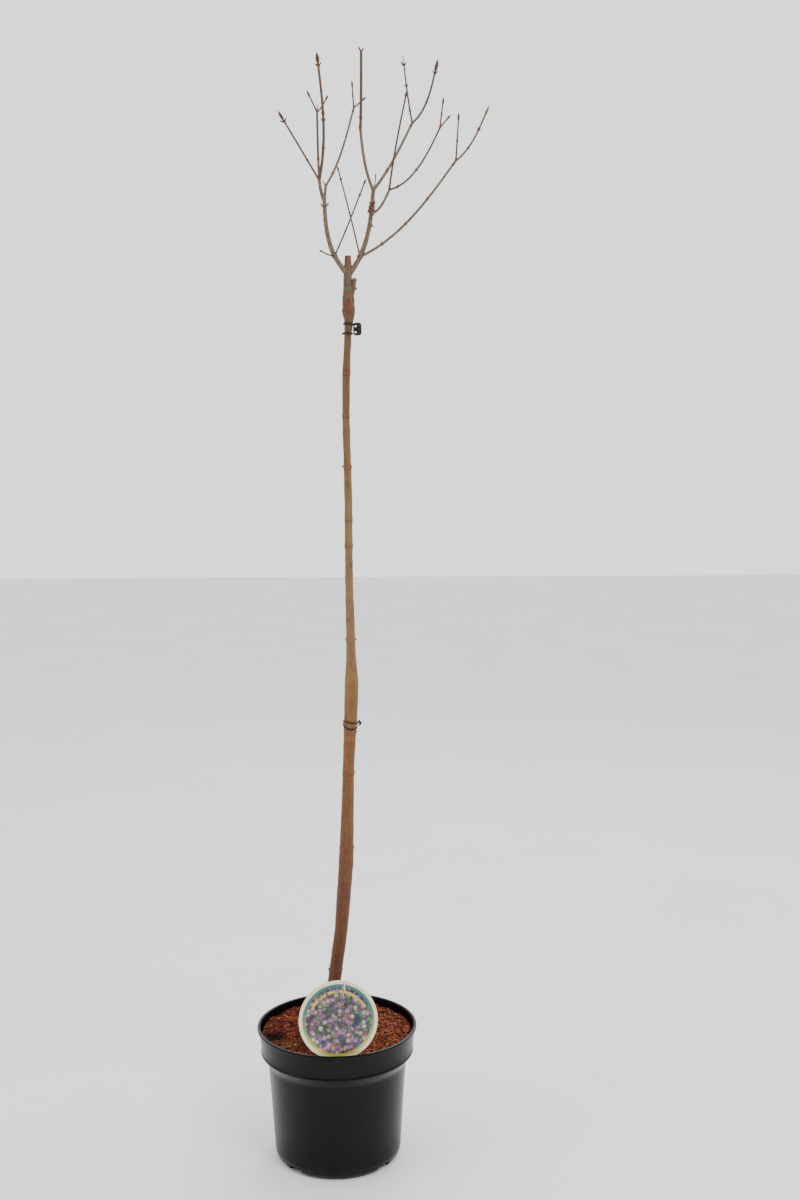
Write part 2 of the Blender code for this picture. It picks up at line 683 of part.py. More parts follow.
def make_label(material):
    """The round label: a thin disc with a hanging hole and its slit, fused to the stalk."""
    disc = loft([circle(LABEL_RADIUS, side * LABEL_THICK / 2, LABEL_SIDES) for side in (-1, 1)])
    bmesh.ops.transform(disc, matrix=label_frame(), verts=disc.verts)
    label = apply_boolean(mesh_object("plant_label", disc, material), "UNION",
                          [label_stalk(material, 0)])
    across, up = LABEL_HOLE
    deep = 4 * LABEL_THICK
    hole = loft([circle(LABEL_HOLE_RADIUS, side * deep / 2, 12) for side in (-1, 1)])
    bmesh.ops.translate(hole, vec=(across, up, 0), verts=hole.verts)
    slit = bmesh.new()
    bmesh.ops.create_cube(slit, size=1)
    bmesh.ops.scale(slit, vec=(LABEL_SLIT, LABEL_RADIUS, deep), verts=slit.verts)
    bmesh.ops.translate(slit, vec=(across, up + LABEL_RADIUS / 2, 0), verts=slit.verts)
    for cutter in (hole, slit):
        bmesh.ops.transform(cutter, matrix=label_frame(), verts=cutter.verts)
    cutters = [mesh_object("hole", hole, material), mesh_object("slit", slit, material)]
    return apply_boolean(label, "DIFFERENCE", cutters)


def tie_band(middle, inner, tilt, material):
    """One flat band, tilted a little about the axis that points to the back."""
    shape = bmesh.new()
    profile = ((inner, -1), (inner + TIE_THICK, -1), (inner + TIE_THICK, 1), (inner, 1))
    rings = [[shape.verts.new(p) for p in circle(r, side * TIE_BAND / 2, TIE_SIDES)]
             for r, side in profile]
    for ring, other in zip(rings, rings[1:] + rings[:1]):
        for side in range(TIE_SIDES):
            after = (side + 1) % TIE_SIDES
            shape.faces.new((ring[side], ring[after], other[after], other[side]))
    bmesh.ops.rotate(shape, matrix=Matrix.Rotation(math.radians(tilt), 3, "Y"), verts=shape.verts)
    bmesh.ops.translate(shape, vec=middle, verts=shape.verts)
    return mesh_object("band", shape, material)


def make_tie(name, trunk, heights, tilts, knot_size, material):
    """A tie of two bands round the trunk, joined by the knot or clip at its right side."""
    inner = max(trunk.widest_near(trunk_along(height)) for height in heights) + TIE_FIT
    bands = [tie_band(trunk.point_at(trunk_along(height)), inner, tilt, material)
             for height, tilt in zip(heights, tilts)]
    middle = trunk.point_at(trunk_along(sum(heights) / len(heights)))
    knot = bmesh.new()
    bmesh.ops.create_cube(knot, size=1)
    bmesh.ops.scale(knot, vec=knot_size, verts=knot.verts)
    bmesh.ops.bevel(knot, geom=knot.edges, offset=1.2 * MM, segments=1, affect="EDGES")
    reach = inner + TIE_THICK / 3 + knot_size[0] / 2
    bmesh.ops.translate(knot, vec=middle + Vector((reach, 0, 0)), verts=knot.verts)
    return apply_boolean(mesh_object(name, knot, material), "UNION", bands)


def main():
    for old in list(bpy.data.objects):
        bpy.data.objects.remove(old)
    bark = finish("stem_bark", (0.26, 0.13, 0.06), 0.62)
    twig_bark = finish("twig_bark", (0.20, 0.12, 0.05), 0.55)
    plastic = finish("black_plastic", (0.02, 0.022, 0.028), 0.38)
    mix = finish("bark_mix", (0.22, 0.07, 0.03), 0.9)
    card = finish("label_face", (0.55, 0.6, 0.45), 0.35)
    rubber = finish("tie_rubber", (0.015, 0.015, 0.018), 0.5)
    trunk = trunk_stem()
    make_pot(plastic)
    make_mix(mix, label_stalk(card, CLEARANCE))
    make_label(card)
    make_trunk(trunk, bark)
    make_limbs(trunk, bark, twig_bark)
    make_tie("lower_tie", trunk, LOWER_TIE_HEIGHTS, LOWER_TIE_TILTS, LOWER_KNOT_SIZE, rubber)
    make_tie("upper_tie", trunk, UPPER_TIE_HEIGHTS, UPPER_TIE_TILTS, UPPER_CLIP_SIZE, rubber)


main()
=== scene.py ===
import json
import math
import random
from typing import NamedTuple

import bpy
from mathutils import Matrix, Vector, noise

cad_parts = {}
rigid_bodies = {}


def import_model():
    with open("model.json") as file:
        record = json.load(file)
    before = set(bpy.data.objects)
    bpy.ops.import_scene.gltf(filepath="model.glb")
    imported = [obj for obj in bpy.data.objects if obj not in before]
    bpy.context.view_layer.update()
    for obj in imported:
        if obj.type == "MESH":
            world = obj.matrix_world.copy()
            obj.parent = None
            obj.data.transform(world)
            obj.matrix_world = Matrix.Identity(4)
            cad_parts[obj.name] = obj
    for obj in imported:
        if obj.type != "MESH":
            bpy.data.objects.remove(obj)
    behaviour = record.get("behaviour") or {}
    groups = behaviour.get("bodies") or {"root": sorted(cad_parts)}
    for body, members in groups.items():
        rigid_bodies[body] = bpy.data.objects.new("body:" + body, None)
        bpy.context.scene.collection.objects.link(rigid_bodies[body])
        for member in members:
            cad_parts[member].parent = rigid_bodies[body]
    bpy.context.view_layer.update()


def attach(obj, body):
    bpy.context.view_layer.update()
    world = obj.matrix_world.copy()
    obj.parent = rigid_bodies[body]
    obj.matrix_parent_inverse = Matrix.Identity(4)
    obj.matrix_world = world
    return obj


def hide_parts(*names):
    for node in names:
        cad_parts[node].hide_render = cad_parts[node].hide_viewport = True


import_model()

MM = 0.001
BODY = "root"
DRAW = random.Random(11)
uniform = DRAW.uniform
UP = Vector((0, 0, 1))
# Marks that each point carries for the materials: red bark, bud scales, dark (on the mix also
# painted shade in its hollow), pale
MARKS = ("ruddy", "bud", "dark", "pale")
PLAIN = (0, 0, 0, 0)
RANGE = ("From Min", "From Max", "To Min", "To Max")

# Trunk: height above the pot's underside, sideways place and diameter
TRUNK_STATIONS = (
    (199.3, -15.5, 28), (216, -12.8, 22.5), (283, -3.5, 20.7), (365, 8, 20.8),
    (470, 16.5, 23.4), (575, 20.5, 19.2), (635, 22.3, 18), (717, 26.5, 21.2),
    (757, 28, 21.8), (803, 27.6, 14.8), (920, 25.5, 12.2), (1040, 25.5, 12),
    (1170, 23, 11.2), (1230, 24, 12.2), (1285, 26.8, 10.6), (1312, 28.6, 14),
    (1325, 28.6, 20.5), (1345, 28.2, 17), (1362, 27.4, 13.4), (1385, 27.8, 12),
    (1406, 28.3, 8.8),
)
TRUNK_FOOT, TRUNK_TOP = TRUNK_STATIONS[0][0], TRUNK_STATIONS[-1][0]
TRUNK_SIDES, TRUNK_ROW, TRUNK_STEPS = 40, 2.2, 180
TRUNK_SMOOTHING = (-9, -6, -3, 0, 3, 6, 9)
# Knots and leaf-scar rings: height, compass of the pair's first, size, second's share, redness
TRUNK_KNOTS = (
    (300, 180, 4.4, 0.8, 0.2), (331, 20, 1.6, 0.8, 0.15), (498, 10, 4.2, 0.4, 0.25),
    (618, 5, 3.6, 0.5, 0.2), (683, -10, 3.8, 0.5, 0.2), (827, 5, 3.6, 0.8, 0.2),
    (972, -20, 2.6, 0.7, 0.35), (1013, 160, 1.4, 0.8, 0.15), (1092, 175, 3.6, 0.9, 0.3),
    (1169, 0, 1.6, 0.8, 0.15), (1233, 0, 1.8, 0.9, 0.55),
)
RING_SWELL, RING_REACH = 0.55, 2.6
# Eyes left by fallen shoots: height, compass and size
TRUNK_EYES = ((559, -92, 1.1), (523, -112, 0.7), (515, -80, 0.7), (668, -118, 0.7))
GRAFT_HEIGHT, GRAFT_REACH = 1331, 16
GREEN_BAND_HEIGHT, GREEN_BAND_REACH = 1357, 2.2

PATH_STEPS, TURN_POWER = 32, 2
NODE_SWELL, NODE_WIDTH = 0.34, 1.9
COLLAR_SWELL, COLLAR_REACH = 0.3, 2.4
BARK_THICK = 0.17
BARK_WAVES, BARK_RELIEF = 260, 0.07


class Limb(NamedTuple):
    """One tapering limb: where it springs from, how it leans and turns up, and how it ends."""

    solid: str
    name: str
    parent: str
    along: float
    compass: float
    lean: tuple
    length: float
    thick: tuple
    nodes: tuple = ()
    end: str = "fork"
    bud: float = 0


# Limbs by the fields above. Angles are degrees: compass from +X towards +Y, lean from upright.
# Lengths and diameters are millimetres; along and nodes run from 0 at the root to 1 at the tip.
LIMB_TABLE = (
    ("left_bough", "left_bough", "trunk", 0.9785, -164, (51, 2), 115, (7.4, 5.8), (0.28, 0.93)),
    ("left_outer_bough", "left_outer_bough", "left_bough", 1, -137, (39, 7), 31, (4.8, 4.5)),
    ("left_outer_twigs", "outer_stem", "left_outer_bough", 0.93, -133, (42, 43), 103, (2.9, 2.4),
     (0.35, 0.98), "bud", 17),
    ("left_middle_twigs", "middle_stem", "left_outer_bough", 0.93, 96, (48, 10), 118, (3.5, 3.1),
     (0.37,)),
    ("left_middle_twigs", "middle_west", "middle_stem", 1, -156, (27, 29), 24, (2.4, 2.0), (),
     "bud", 11),
    ("left_middle_twigs", "middle_east", "middle_stem", 1, 50, (56, 36), 28, (2.4, 2.0), (),
     "bud", 11),
    ("left_middle_twigs", "middle_dead", "middle_stem", 1, 74, (18, 18), 12, (1.5, 1.1), (), "cut"),
    ("left_leader_twigs", "leader_stem", "left_outer_bough", 1, -18, (14, -7), 166, (4.2, 3.4),
     (0.27, 0.51, 0.57, 0.98), "bud", 16),
    ("left_inner_stem", "left_inner_stem", "left_bough", 1, 82, (37, 26), 26, (4.3, 3.9)),
    ("left_inner_stem", "inner_dead", "left_inner_stem", 1, 190, (38, 30), 8, (1.6, 1.2), (),
     "cut"),
    ("left_inner_bough", "left_inner_bough", "left_inner_stem", 1, 57, (46, 24), 139, (3.3, 2.9),
     (0.2,)),
    ("left_inner_twigs", "inner_fork", "left_inner_bough", 1, 57, (24, 24), 8, (2.9, 2.8)),
    ("left_inner_twigs", "inner_west", "inner_fork", 1, 114, (14, 8), 31, (2.3, 1.9), (0.6,),
     "bud", 12),
    ("left_inner_twigs", "inner_east", "inner_fork", 1, 24, (53, 48), 17, (2.4, 2.0), (), "bud",
     11),
    ("front_crossing_twigs", "front_stem", "left_bough", 0.28, -45, (37, 32), 116, (2.3, 1.9),
     (0.35, 0.85), "bud", 9),
    ("short_left_twigs", "short_stem", "left_bough", 0.28, -135, (95, 73), 25, (2.2, 1.8), (),
     "bud", 7),
    ("right_bough", "right_bough", "trunk", 0.976, 12, (43, 5), 134, (7.8, 5.8), (0.25,)),
    ("right_bough", "dead_snag", "right_bough", 1, -48, (34, 4), 24, (1.6, 1.3), (0.9,), "cut"),
    ("rear_crossing_twigs", "rear_stem", "right_bough", 0.25, 126, (20, 24), 144, (2.4, 1.9),
     (0.5, 0.9), "bud", 9),
    ("low_right_bough", "low_right_bough", "right_bough", 0.25, -13, (68, 38), 192, (3.9, 3.0),
     (0.2, 0.44, 0.69)),
    ("low_right_twigs", "low_fork", "low_right_bough", 1, -13, (38, 38), 8, (3.0, 2.9)),
    ("low_right_twigs", "low_west", "low_fork", 1, -63, (9, 7), 56, (2.4, 1.9), (0.5,), "bud", 12),
    ("low_right_twigs", "low_east", "low_fork", 1, -34, (64, 29), 75, (2.6, 2.2), (0.35, 0.75),
     "bud", 19),
    ("centre_bough", "centre_bough", "right_bough", 1, -131, (38, 8), 90, (4.4, 4.0)),
    ("centre_leader_twigs", "centre_stem", "centre_bough", 1, -77, (12, 2), 108, (4.0, 3.9),
     (0.15,), "twin"),
    ("right_upper_bough", "right_upper_bough", "right_bough", 1, 41, (45, 32), 125, (4.4, 3.5),
     (0.33,)),
    ("right_upper_twigs", "upper_fork", "right_upper_bough", 1, 41, (32, 32), 8, (3.5, 3.4)),
    ("right_upper_twigs", "upper_west", "upper_fork", 1, 134, (16, 9), 88, (2.6, 2.1),
     (0.22, 0.66), "twin", 16),
    ("right_upper_twigs", "upper_east", "upper_fork", 1, 40, (55, 17), 96, (3.3, 2.8),
     (0.47, 0.98), "bud", 21),
    ("burr_bough", "burr_bough", "right_bough", 0.75, -52, (95, 39), 55, (3.9, 3.3)),
    ("burr_right_twigs", "burr_right_stem", "burr_bough", 1, -42, (88, 35), 128, (2.8, 2.3),
     (0.12, 0.45)),
    ("burr_right_twigs", "burr_west", "burr_right_stem", 1, -40, (7, 10), 31, (2.2, 1.8), (0.6,),
     "bud", 11),
    ("burr_right_twigs", "burr_east", "burr_right_stem", 1, -33, (48, 49), 15, (2.1, 1.8), (),
     "bud", 9),
    ("burr_upright_twigs", "burr_upright_stem", "burr_bough", 1, -53, (12, 21), 131, (2.9, 2.3),
     (0.28,), "bud", 9),
)

POT_SIDES = 160
NOTCHES = (-131, -41, 49, 139)
NOTCH_SIZE, NOTCH_PLACE = (22, 26, 19), (95, 0, 0)
# Half section of the pot, radius and height: up the outside, over the lip and down the inside
WALL = (
    (60, 0), (88, 0), (91, 0.3), (93, 1.2), (96, 3.2), (98.4, 6.5), (99.6, 10.5),
    (100, 14), (100.3, 14.6), (100.35, 15.4), (100.2, 16), (103, 60), (106, 107), (109.1, 150),
    (109.6, 155.5), (111, 158), (118.4, 169.0), (119.3, 169.3), (120.3, 169.9), (121.0, 170.8),
    (121.2, 171.9), (120.9, 173), (120.3, 173.9), (120.0, 174.8), (121.5, 188), (122.8, 202.5),
    (123.2, 205), (124.6, 206.2), (125.7, 206.9), (126.1, 208), (126.15, 210), (125.7, 211.4),
    (124.6, 211.95), (123.2, 211.9), (121.9, 211.4), (121.5, 210.2), (120.9, 205), (118.2, 176),
    (116.9, 172.4), (107.6, 158.6), (106.8, 155), (98, 17), (96.6, 9), (92, 4.2), (80, 3.1),
)

MIX_TOP, MIX_EDGE, MIX_ROWS, MIX_SIDES = 199.4, 118.2, 62, 200
# Hollow in the mix: place, radius and depth in millimetres, and the reach of the painted shade that
# darkens it
HOLLOW, HOLLOW_RADIUS, HOLLOW_DEPTH, HOLLOW_SHADE = (-97, -22), 20, 12, 15
MOSS, MOSS_RADIUS = (-72, -55), 16
SHREDS, SHRED_REACH, SHRED_LIMIT, LONG_SHARE = 5200, 117.5, 118.4, 0.16
# Pale shreds lie mostly beyond this place at the right
STRAW_FROM, STRAW_SHARE, STRAY_SHARE = 40, 0.26, 0.08

LABEL_CENTRE, LABEL_YAW, LABEL_TILT = (6.8, -104, 260.5), 6.5, 82
LABEL_RADIUS, LABEL_HALF, LABEL_SIDES, LABEL_ROWS = 60, 0.4, 160, 30
STALK_SIZE, STALK_CENTRE = (10, 17, 0.8), (0, -64.5, 0)
HOLE_CENTRE, HOLE_RADIUS, HOLE_SIDES = (11, 22), 2.6, 32
SLIT_SIZE, SLIT_CENTRE, SLIT_TURN = (0.7, 40, 4), (10.4, 43, 0), 2

# Bands of the ties: height, rise to the right, rise to the front, width, thickness, clearance
LOWER_BANDS = ((698.6, -1.6, 0.4, 2.4, 1.0, 0.7), (693.4, -1.8, -4.6, 2.2, 1.0, 0.7))
UPPER_BANDS = ((1305.2, -0.6, 0.5, 2.6, 1.2, 0.7), (1291.6, -0.4, 0.3, 2.6, 1.2, 0.9))
BAND_STEPS = 72
BAND_PROFILE = ((0, -1), (1, -0.8), (1, 0.8), (0, 1))
# Lobes of the lower tie's knot: place from the trunk's middle and size
KNOT_HEIGHT = 698
KNOT_LOBES = ((13.2, -1.5, 1.5, 2.6), (15.4, -0.5, -1.0, 2.3), (14.2, 0.5, -3.6, 1.9))
TAIL_HEIGHT = 1291
CLIP_CENTRE, CLIP_HALF_WIDE, CLIP_HALF_HIGH, CLIP_SIDES = (41.4, -0.5, 1298), 6.4, 9.6, 48
# Rounded back and front of the clip: depth and share of the full size
CLIP_LAYERS = ((3, 0.86), (2.6, 0.95), (1.8, 1), (-1.8, 1), (-2.6, 0.95), (-3, 0.86))
CLIP_SLOT, CLIP_SLOT_PLACES = (3.0, 9, 2.6), ((-2.8, 0, -4.6), (-2.8, 0, 4.2))

FLOOR_HALF = 9
# Brightness of the soft surround, in front of the plant and behind it
FRONT_GLOW, BACK_GLOW = 0.3, 1.75
# Lights: name, place, what they aim at, size, power and colour
LIGHTS = (
    ("key", (1.7, -2.2, 3.0), (0, 0, 0.8), (1.3, 1.3), 62, (1, 0.98, 0.95)),
    ("fill", (-2.4, -1.2, 1.6), (0, 0, 0.8), (1.2, 2.0), 16, (1, 1, 1)),
    ("rim", (0.6, 2.4, 2.6), (0, 0, 0.9), (1.6, 1.2), 30, (1, 1, 1)),
)
EYE = (0.1033, -2.218, 1.152)
LENS, SENSOR = 43.69, (24, 36)
LOOK_DOWN, ROLL = 6.78, -0.005

# Share of a screen colour that its base colour has in this light, on the plant and in print
PLANT_SHARE, PRINT_SHARE = 0.56, 0.93
WARMTH = (1.04, 0.98, 0.84)


def srgb(*screen, share=PLANT_SHARE):
    """Linear base colour that shows as this screen colour, in steps of 255, in this light."""
    return tuple(
        share * warmth * (value / 3294.6 if value <= 10 else ((value / 255 + 0.055) / 1.055) ** 2.4)
        for value, warmth in zip(screen, WARMTH)
    )


def ink(*screen):
    """Brighter base colour, for print and card."""
    return srgb(*screen, share=PRINT_SHARE)


# Materials
class Nodes:
    """Short calls for nodes."""

    def __init__(self, tree):
        self.tree = tree

    def node(self, kind, feeds=(), **settings):
        """A node with its settings, and then what goes into its sockets."""
        made = self.tree.nodes.new("ShaderNode" + kind)
        for name, value in settings.items():
            setattr(made, name, value)
        for name, value in dict(feeds).items():
            self.feed(value, made.inputs[name])
        return made

    def feed(self, value, socket):
        if isinstance(value, bpy.types.NodeSocket):
            self.tree.links.new(value, socket)
        else:
            socket.default_value = (*value, 1) if socket.type == "RGBA" else value


class Paint(Nodes):
    """A Principled material and short calls for what feeds it."""

    def __init__(self, name, roughness, specular):
        self.material = bpy.data.materials.new(name)
        self.material.use_nodes = True
        super().__init__(self.material.node_tree)
        self.shader = self.tree.nodes["Principled BSDF"]
        self.shader.inputs["Roughness"].default_value = roughness
        self.shader.inputs["Specular IOR Level"].default_value = specular

    def place(self, stretch=(1, 1, 1)):
        """Object coordinates in metres, stretched."""
        place = self.node("TexCoord").outputs["Object"]
        return self.node("Mapping", {"Scale": stretch, "Vector": place}).outputs[0]

    def noise(self, scale, detail, stretch=(1, 1, 1)):
        feeds = {"Scale": scale, "Detail": detail, "Roughness": 0.55, "Vector": self.place(stretch)}
        return self.node("TexNoise", feeds).outputs["Fac"]

    def cells(self, scale, stretch=(1, 1, 1), feature="F1"):
        feeds = {"Scale": scale, "Vector": self.place(stretch)}
        return self.node("TexVoronoi", feeds, feature=feature).outputs["Distance"]

    def mark(self, name):
        """What the mesh's points carry under this name."""
        return self.node("Attribute", attribute_name=name).outputs["Fac"]

    def height(self, low, high):
        """From 0 at one height to 1 at another."""
        split = self.node("SeparateXYZ", {"Vector": self.place()})
        return self.span(split.outputs["Z"], low, high)

    def span(self, value, low, high, to_low=0.0, to_high=1.0):
        """Turns one range into another, held at its ends."""
        feeds = dict(zip(RANGE, (low, high, to_low, to_high)))
        return self.node("MapRange", {"Value": value, **feeds}).outputs["Result"]

    def ramp(self, value, stops):
        made = self.node("ValToRGB", {"Fac": value})
        elements = made.color_ramp.elements
        while len(elements) < len(stops):
            elements.new(0.5)
        for element, (place, colour) in zip(elements, stops):
            element.position = place
            element.color = (*colour, 1)
        return made.outputs["Color"]

    def mix(self, share, low, high, blend="MIX"):
        feeds = {0: share, 6: low, 7: high}
        return self.node("Mix", feeds, data_type="RGBA", blend_type=blend).outputs[2]

    def math(self, operation, *values):
        return self.node("Math", enumerate(values), operation=operation).outputs[0]

    def lay(self, base, mask, strength, colour):
        """Lays a colour over the base where a mask says so; a name stands for that mark."""
        mask = self.mark(mask) if isinstance(mask, str) else mask
        return self.mix(self.math("MULTIPLY", mask, strength), base, colour)

    def colour(self, value):
        self.feed(value, self.shader.inputs["Base Color"])

    def rough(self, value):
        self.feed(value, self.shader.inputs["Roughness"])

    def bump(self, height, depth, strength):
        made = self.node("Bump",
                         {"Strength": strength, "Distance": depth, "Height": height})
        self.feed(made.outputs["Normal"], self.shader.inputs["Normal"])


def trunk_paint():
    """Young bark: red-brown low down, tan in the middle, olive-grey under the graft."""
    paint = Paint("trunk_bark", 0.55, 0.35)
    low, high = 0.2, 1.41
    # Height in millimetres and bark colour there
    tones = ((200, (104, 60, 38)), (330, (116, 70, 42)), (500, (134, 88, 52)),
             (700, (152, 108, 66)), (850, (164, 130, 90)), (1030, (158, 124, 85)),
             (1200, (140, 106, 74)), (1300, (122, 96, 72)), (1325, (118, 88, 66)),
             (1350, (120, 100, 84)), (1380, (128, 108, 94)), (1395, (134, 90, 78)))
    stops = [((height * MM - low) / (high - low), srgb(*tone)) for height, tone in tones]
    base = paint.ramp(paint.height(low, high), stops)
    streak = paint.noise(420, detail=6, stretch=(1, 1, 0.06))
    streaks = paint.ramp(streak, ((0.3, (0.28, 0.24, 0.22)), (0.7, (0.75, 0.75, 0.72))))
    base = paint.mix(0.55, base, streaks, "OVERLAY")
    blotch = paint.noise(60, detail=4, stretch=(1, 1, 0.4))
    blotches = paint.ramp(blotch, ((0.35, (0.38, 0.33, 0.3)), (0.65, (0.62, 0.64, 0.62))))
    base = paint.mix(0.35, base, blotches, "OVERLAY")
    cracks = paint.cells(700, stretch=(1, 1, 0.05), feature="DISTANCE_TO_EDGE")
    crack = paint.span(cracks, 0.0, 0.09, 1.0, 0.0)
    cracked = paint.span(paint.noise(90, detail=2), 0.45, 0.7)
    base = paint.lay(base, crack, cracked, srgb(66, 38, 26))
    speck = paint.span(paint.cells(260, stretch=(1, 1, 1.6)), 0.1, 0.2, 1.0, 0.0)
    base = paint.lay(base, speck, 0.35, srgb(196, 168, 128))
    base = paint.lay(base, "ruddy", 0.8, srgb(164, 78, 40))
    base = paint.lay(base, "dark", 0.85, srgb(40, 24, 18))
    base = paint.lay(base, "pale", 0.8, srgb(128, 146, 92))
    paint.colour(base)
    paint.rough(paint.span(streak, 0.2, 0.8, 0.45, 0.75))
    relief = paint.math("ADD", streak, paint.math("MULTIPLY", crack, -0.6))
    paint.bump(relief, depth=0.5 * MM, strength=0.5)
    return paint.material


def twig_paint(name, light, shade):
    """Twig bark: olive-brown with pale lenticels, ruddy nodes and dark scaly buds."""
    paint = Paint(name, 0.5, 0.4)
    streak = paint.noise(500, detail=5, stretch=(1, 1, 0.25))
    base = paint.mix(paint.span(streak, 0.3, 0.7), shade, light)
    blotch = paint.noise(110, detail=3)
    base = paint.mix(paint.span(blotch, 0.42, 0.62, 0.0, 0.5), base, srgb(112, 84, 62))
    speck = paint.span(paint.cells(520, stretch=(1, 1, 0.7)), 0.12, 0.24, 1.0, 0.0)
    base = paint.lay(base, speck, 0.45, srgb(188, 168, 140))
    base = paint.lay(base, "ruddy", 0.8, srgb(150, 72, 34))
    scales = paint.cells(620, stretch=(1, 1, 0.6), feature="DISTANCE_TO_EDGE")
    scaly = paint.mix(paint.span(scales, 0.0, 0.12), srgb(46, 30, 20), srgb(104, 72, 44))
    base = paint.lay(base, "bud", 0.9, scaly)
    base = paint.lay(base, "dark", 0.85, srgb(44, 29, 22))
    base = paint.lay(base, "pale", 0.8, srgb(176, 160, 96))
    paint.colour(base)
    paint.rough(paint.span(streak, 0.2, 0.8, 0.4, 0.65))
    paint.bump(paint.math("ADD", streak, speck), depth=0.25 * MM, strength=0.45)
    return paint.material


def pot_paint():
    """Satin black plastic with faint moulding streaks and a little dust."""
    paint = Paint("satin_black_plastic", 0.3, 0.16)
    dust = paint.span(paint.noise(18, detail=6, stretch=(1, 1, 0.5)), 0.5, 0.8)
    base = paint.lay(srgb(9, 10, 14), dust, 0.35, srgb(26, 27, 30))
    soil = paint.span(paint.noise(55, detail=4), 0.4, 0.7)
    soil = paint.math("MULTIPLY", paint.height(0.03, 0.0), soil)
    base = paint.lay(base, soil, 0.4, srgb(64, 58, 52))
    paint.colour(base)
    sheen = paint.noise(40, detail=5, stretch=(1, 1, 0.15))
    paint.rough(paint.span(sheen, 0.25, 0.75, 0.2, 0.34))
    paint.bump(paint.noise(900, detail=2), depth=0.03 * MM, strength=0.12)
    return paint.material


def mix_paint(name, dark, mid, light):
    """Shredded bark, each piece in its own tone; the bud mark stands for moss here."""
    paint = Paint(name, 0.85, 0.25)
    fine = paint.noise(700, detail=6)
    tone = paint.math("ADD", paint.math("MULTIPLY", paint.mark("ruddy"), 0.75),
                      paint.math("MULTIPLY", fine, 0.3))
    base = paint.ramp(tone, ((0.1, dark), (0.55, mid), (0.95, light)))
    # The dark mark: painted shade in the bed's hollow and on the shreds in it, and a slight
    # darkening of the whole bed
    base = paint.lay(base, "dark", 0.9, srgb(14, 8, 6))
    base = paint.lay(base, "pale", 0.85, srgb(204, 132, 82))
    base = paint.lay(base, "bud", 0.8, srgb(110, 110, 40))
    paint.colour(base)
    paint.bump(fine, depth=0.5 * MM, strength=0.7)
    return paint.material


def label_paint():
    """Printed card: cream edge, a ring from teal to yellow-green, and a bed of blossom."""
    paint = Paint("label_print", 0.3, 0.5)
    across, up, reach = paint.mark("across"), paint.mark("up"), paint.mark("reach")
    flat = paint.node("CombineXYZ", {"X": across, "Y": up}).outputs[0]

    def texture(kind, scale, output):
        return paint.node(kind, {"Scale": scale, "Vector": flat}).outputs[output]

    blossom = texture("TexVoronoi", 10.0, "Color")
    petals = texture("TexVoronoi", 10.0, "Distance")
    small = texture("TexVoronoi", 17.0, "Distance")
    cloud = texture("TexNoise", 3.2, "Fac")
    split = paint.node("SeparateColor", {0: blossom})
    tones = ((0.0, ink(60, 52, 120)), (0.16, ink(136, 92, 176)), (0.34, ink(206, 130, 176)),
             (0.5, ink(228, 200, 196)), (0.64, ink(110, 150, 104)), (0.8, ink(44, 104, 80)),
             (1.0, ink(176, 60, 110)))
    picture = paint.ramp(split.outputs[0], tones)
    picture = paint.mix(paint.span(petals, 0.15, 0.8), picture, ink(26, 52, 50))
    picture = paint.mix(paint.span(small, 0.1, 0.3, 0.5, 0.0), picture, ink(214, 206, 196))
    picture = paint.mix(paint.span(cloud, 0.52, 0.64, 0.0, 0.85), picture, ink(28, 34, 60))
    ring = paint.ramp(paint.span(up, -1.0, 1.0),
                      ((0.05, ink(206, 196, 60)), (0.35, ink(128, 158, 92)),
                       (0.6, ink(48, 122, 112)), (0.95, ink(40, 118, 124))))
    arc_reach, arc_half = 0.72, 0.035
    arc = paint.math("COMPARE", reach, arc_reach, arc_half)
    arc = paint.math("MULTIPLY", arc, paint.span(up, 0.3, 0.36))
    broken = paint.span(texture("TexNoise", 16.0, "Fac"), 0.42, 0.5)
    picture = paint.lay(picture, arc, broken, ink(206, 186, 84))
    face = paint.mix(paint.span(reach, 0.83, 0.85), picture, ring)
    face = paint.mix(paint.span(reach, 0.905, 0.915), face, ink(236, 232, 206))
    face = paint.mix(paint.mark("back"), face, ink(228, 226, 214))
    paint.colour(face)
    paint.shader.inputs["Coat Weight"].default_value = 0.3
    paint.shader.inputs["Coat Roughness"].default_value = 0.15
    return paint.material


def tie_paint():
    """Black soft plastic."""
    paint = Paint("tie_black", 0.42, 0.4)
    fine = paint.noise(500, detail=4)
    paint.colour(paint.mix(paint.span(fine, 0.35, 0.75), srgb(14, 14, 16), srgb(40, 38, 38)))
    paint.bump(fine, depth=0.1 * MM, strength=0.4)
    return paint.material


def floor_paint():
    """Matt pale floor."""
    paint = Paint("pale_floor", 0.6, 0.2)
    cloud = paint.span(paint.noise(3, detail=3), 0.3, 0.7)
    paint.colour(paint.mix(cloud, (0.86, 0.86, 0.87), (0.89, 0.89, 0.895)))
    return paint.material


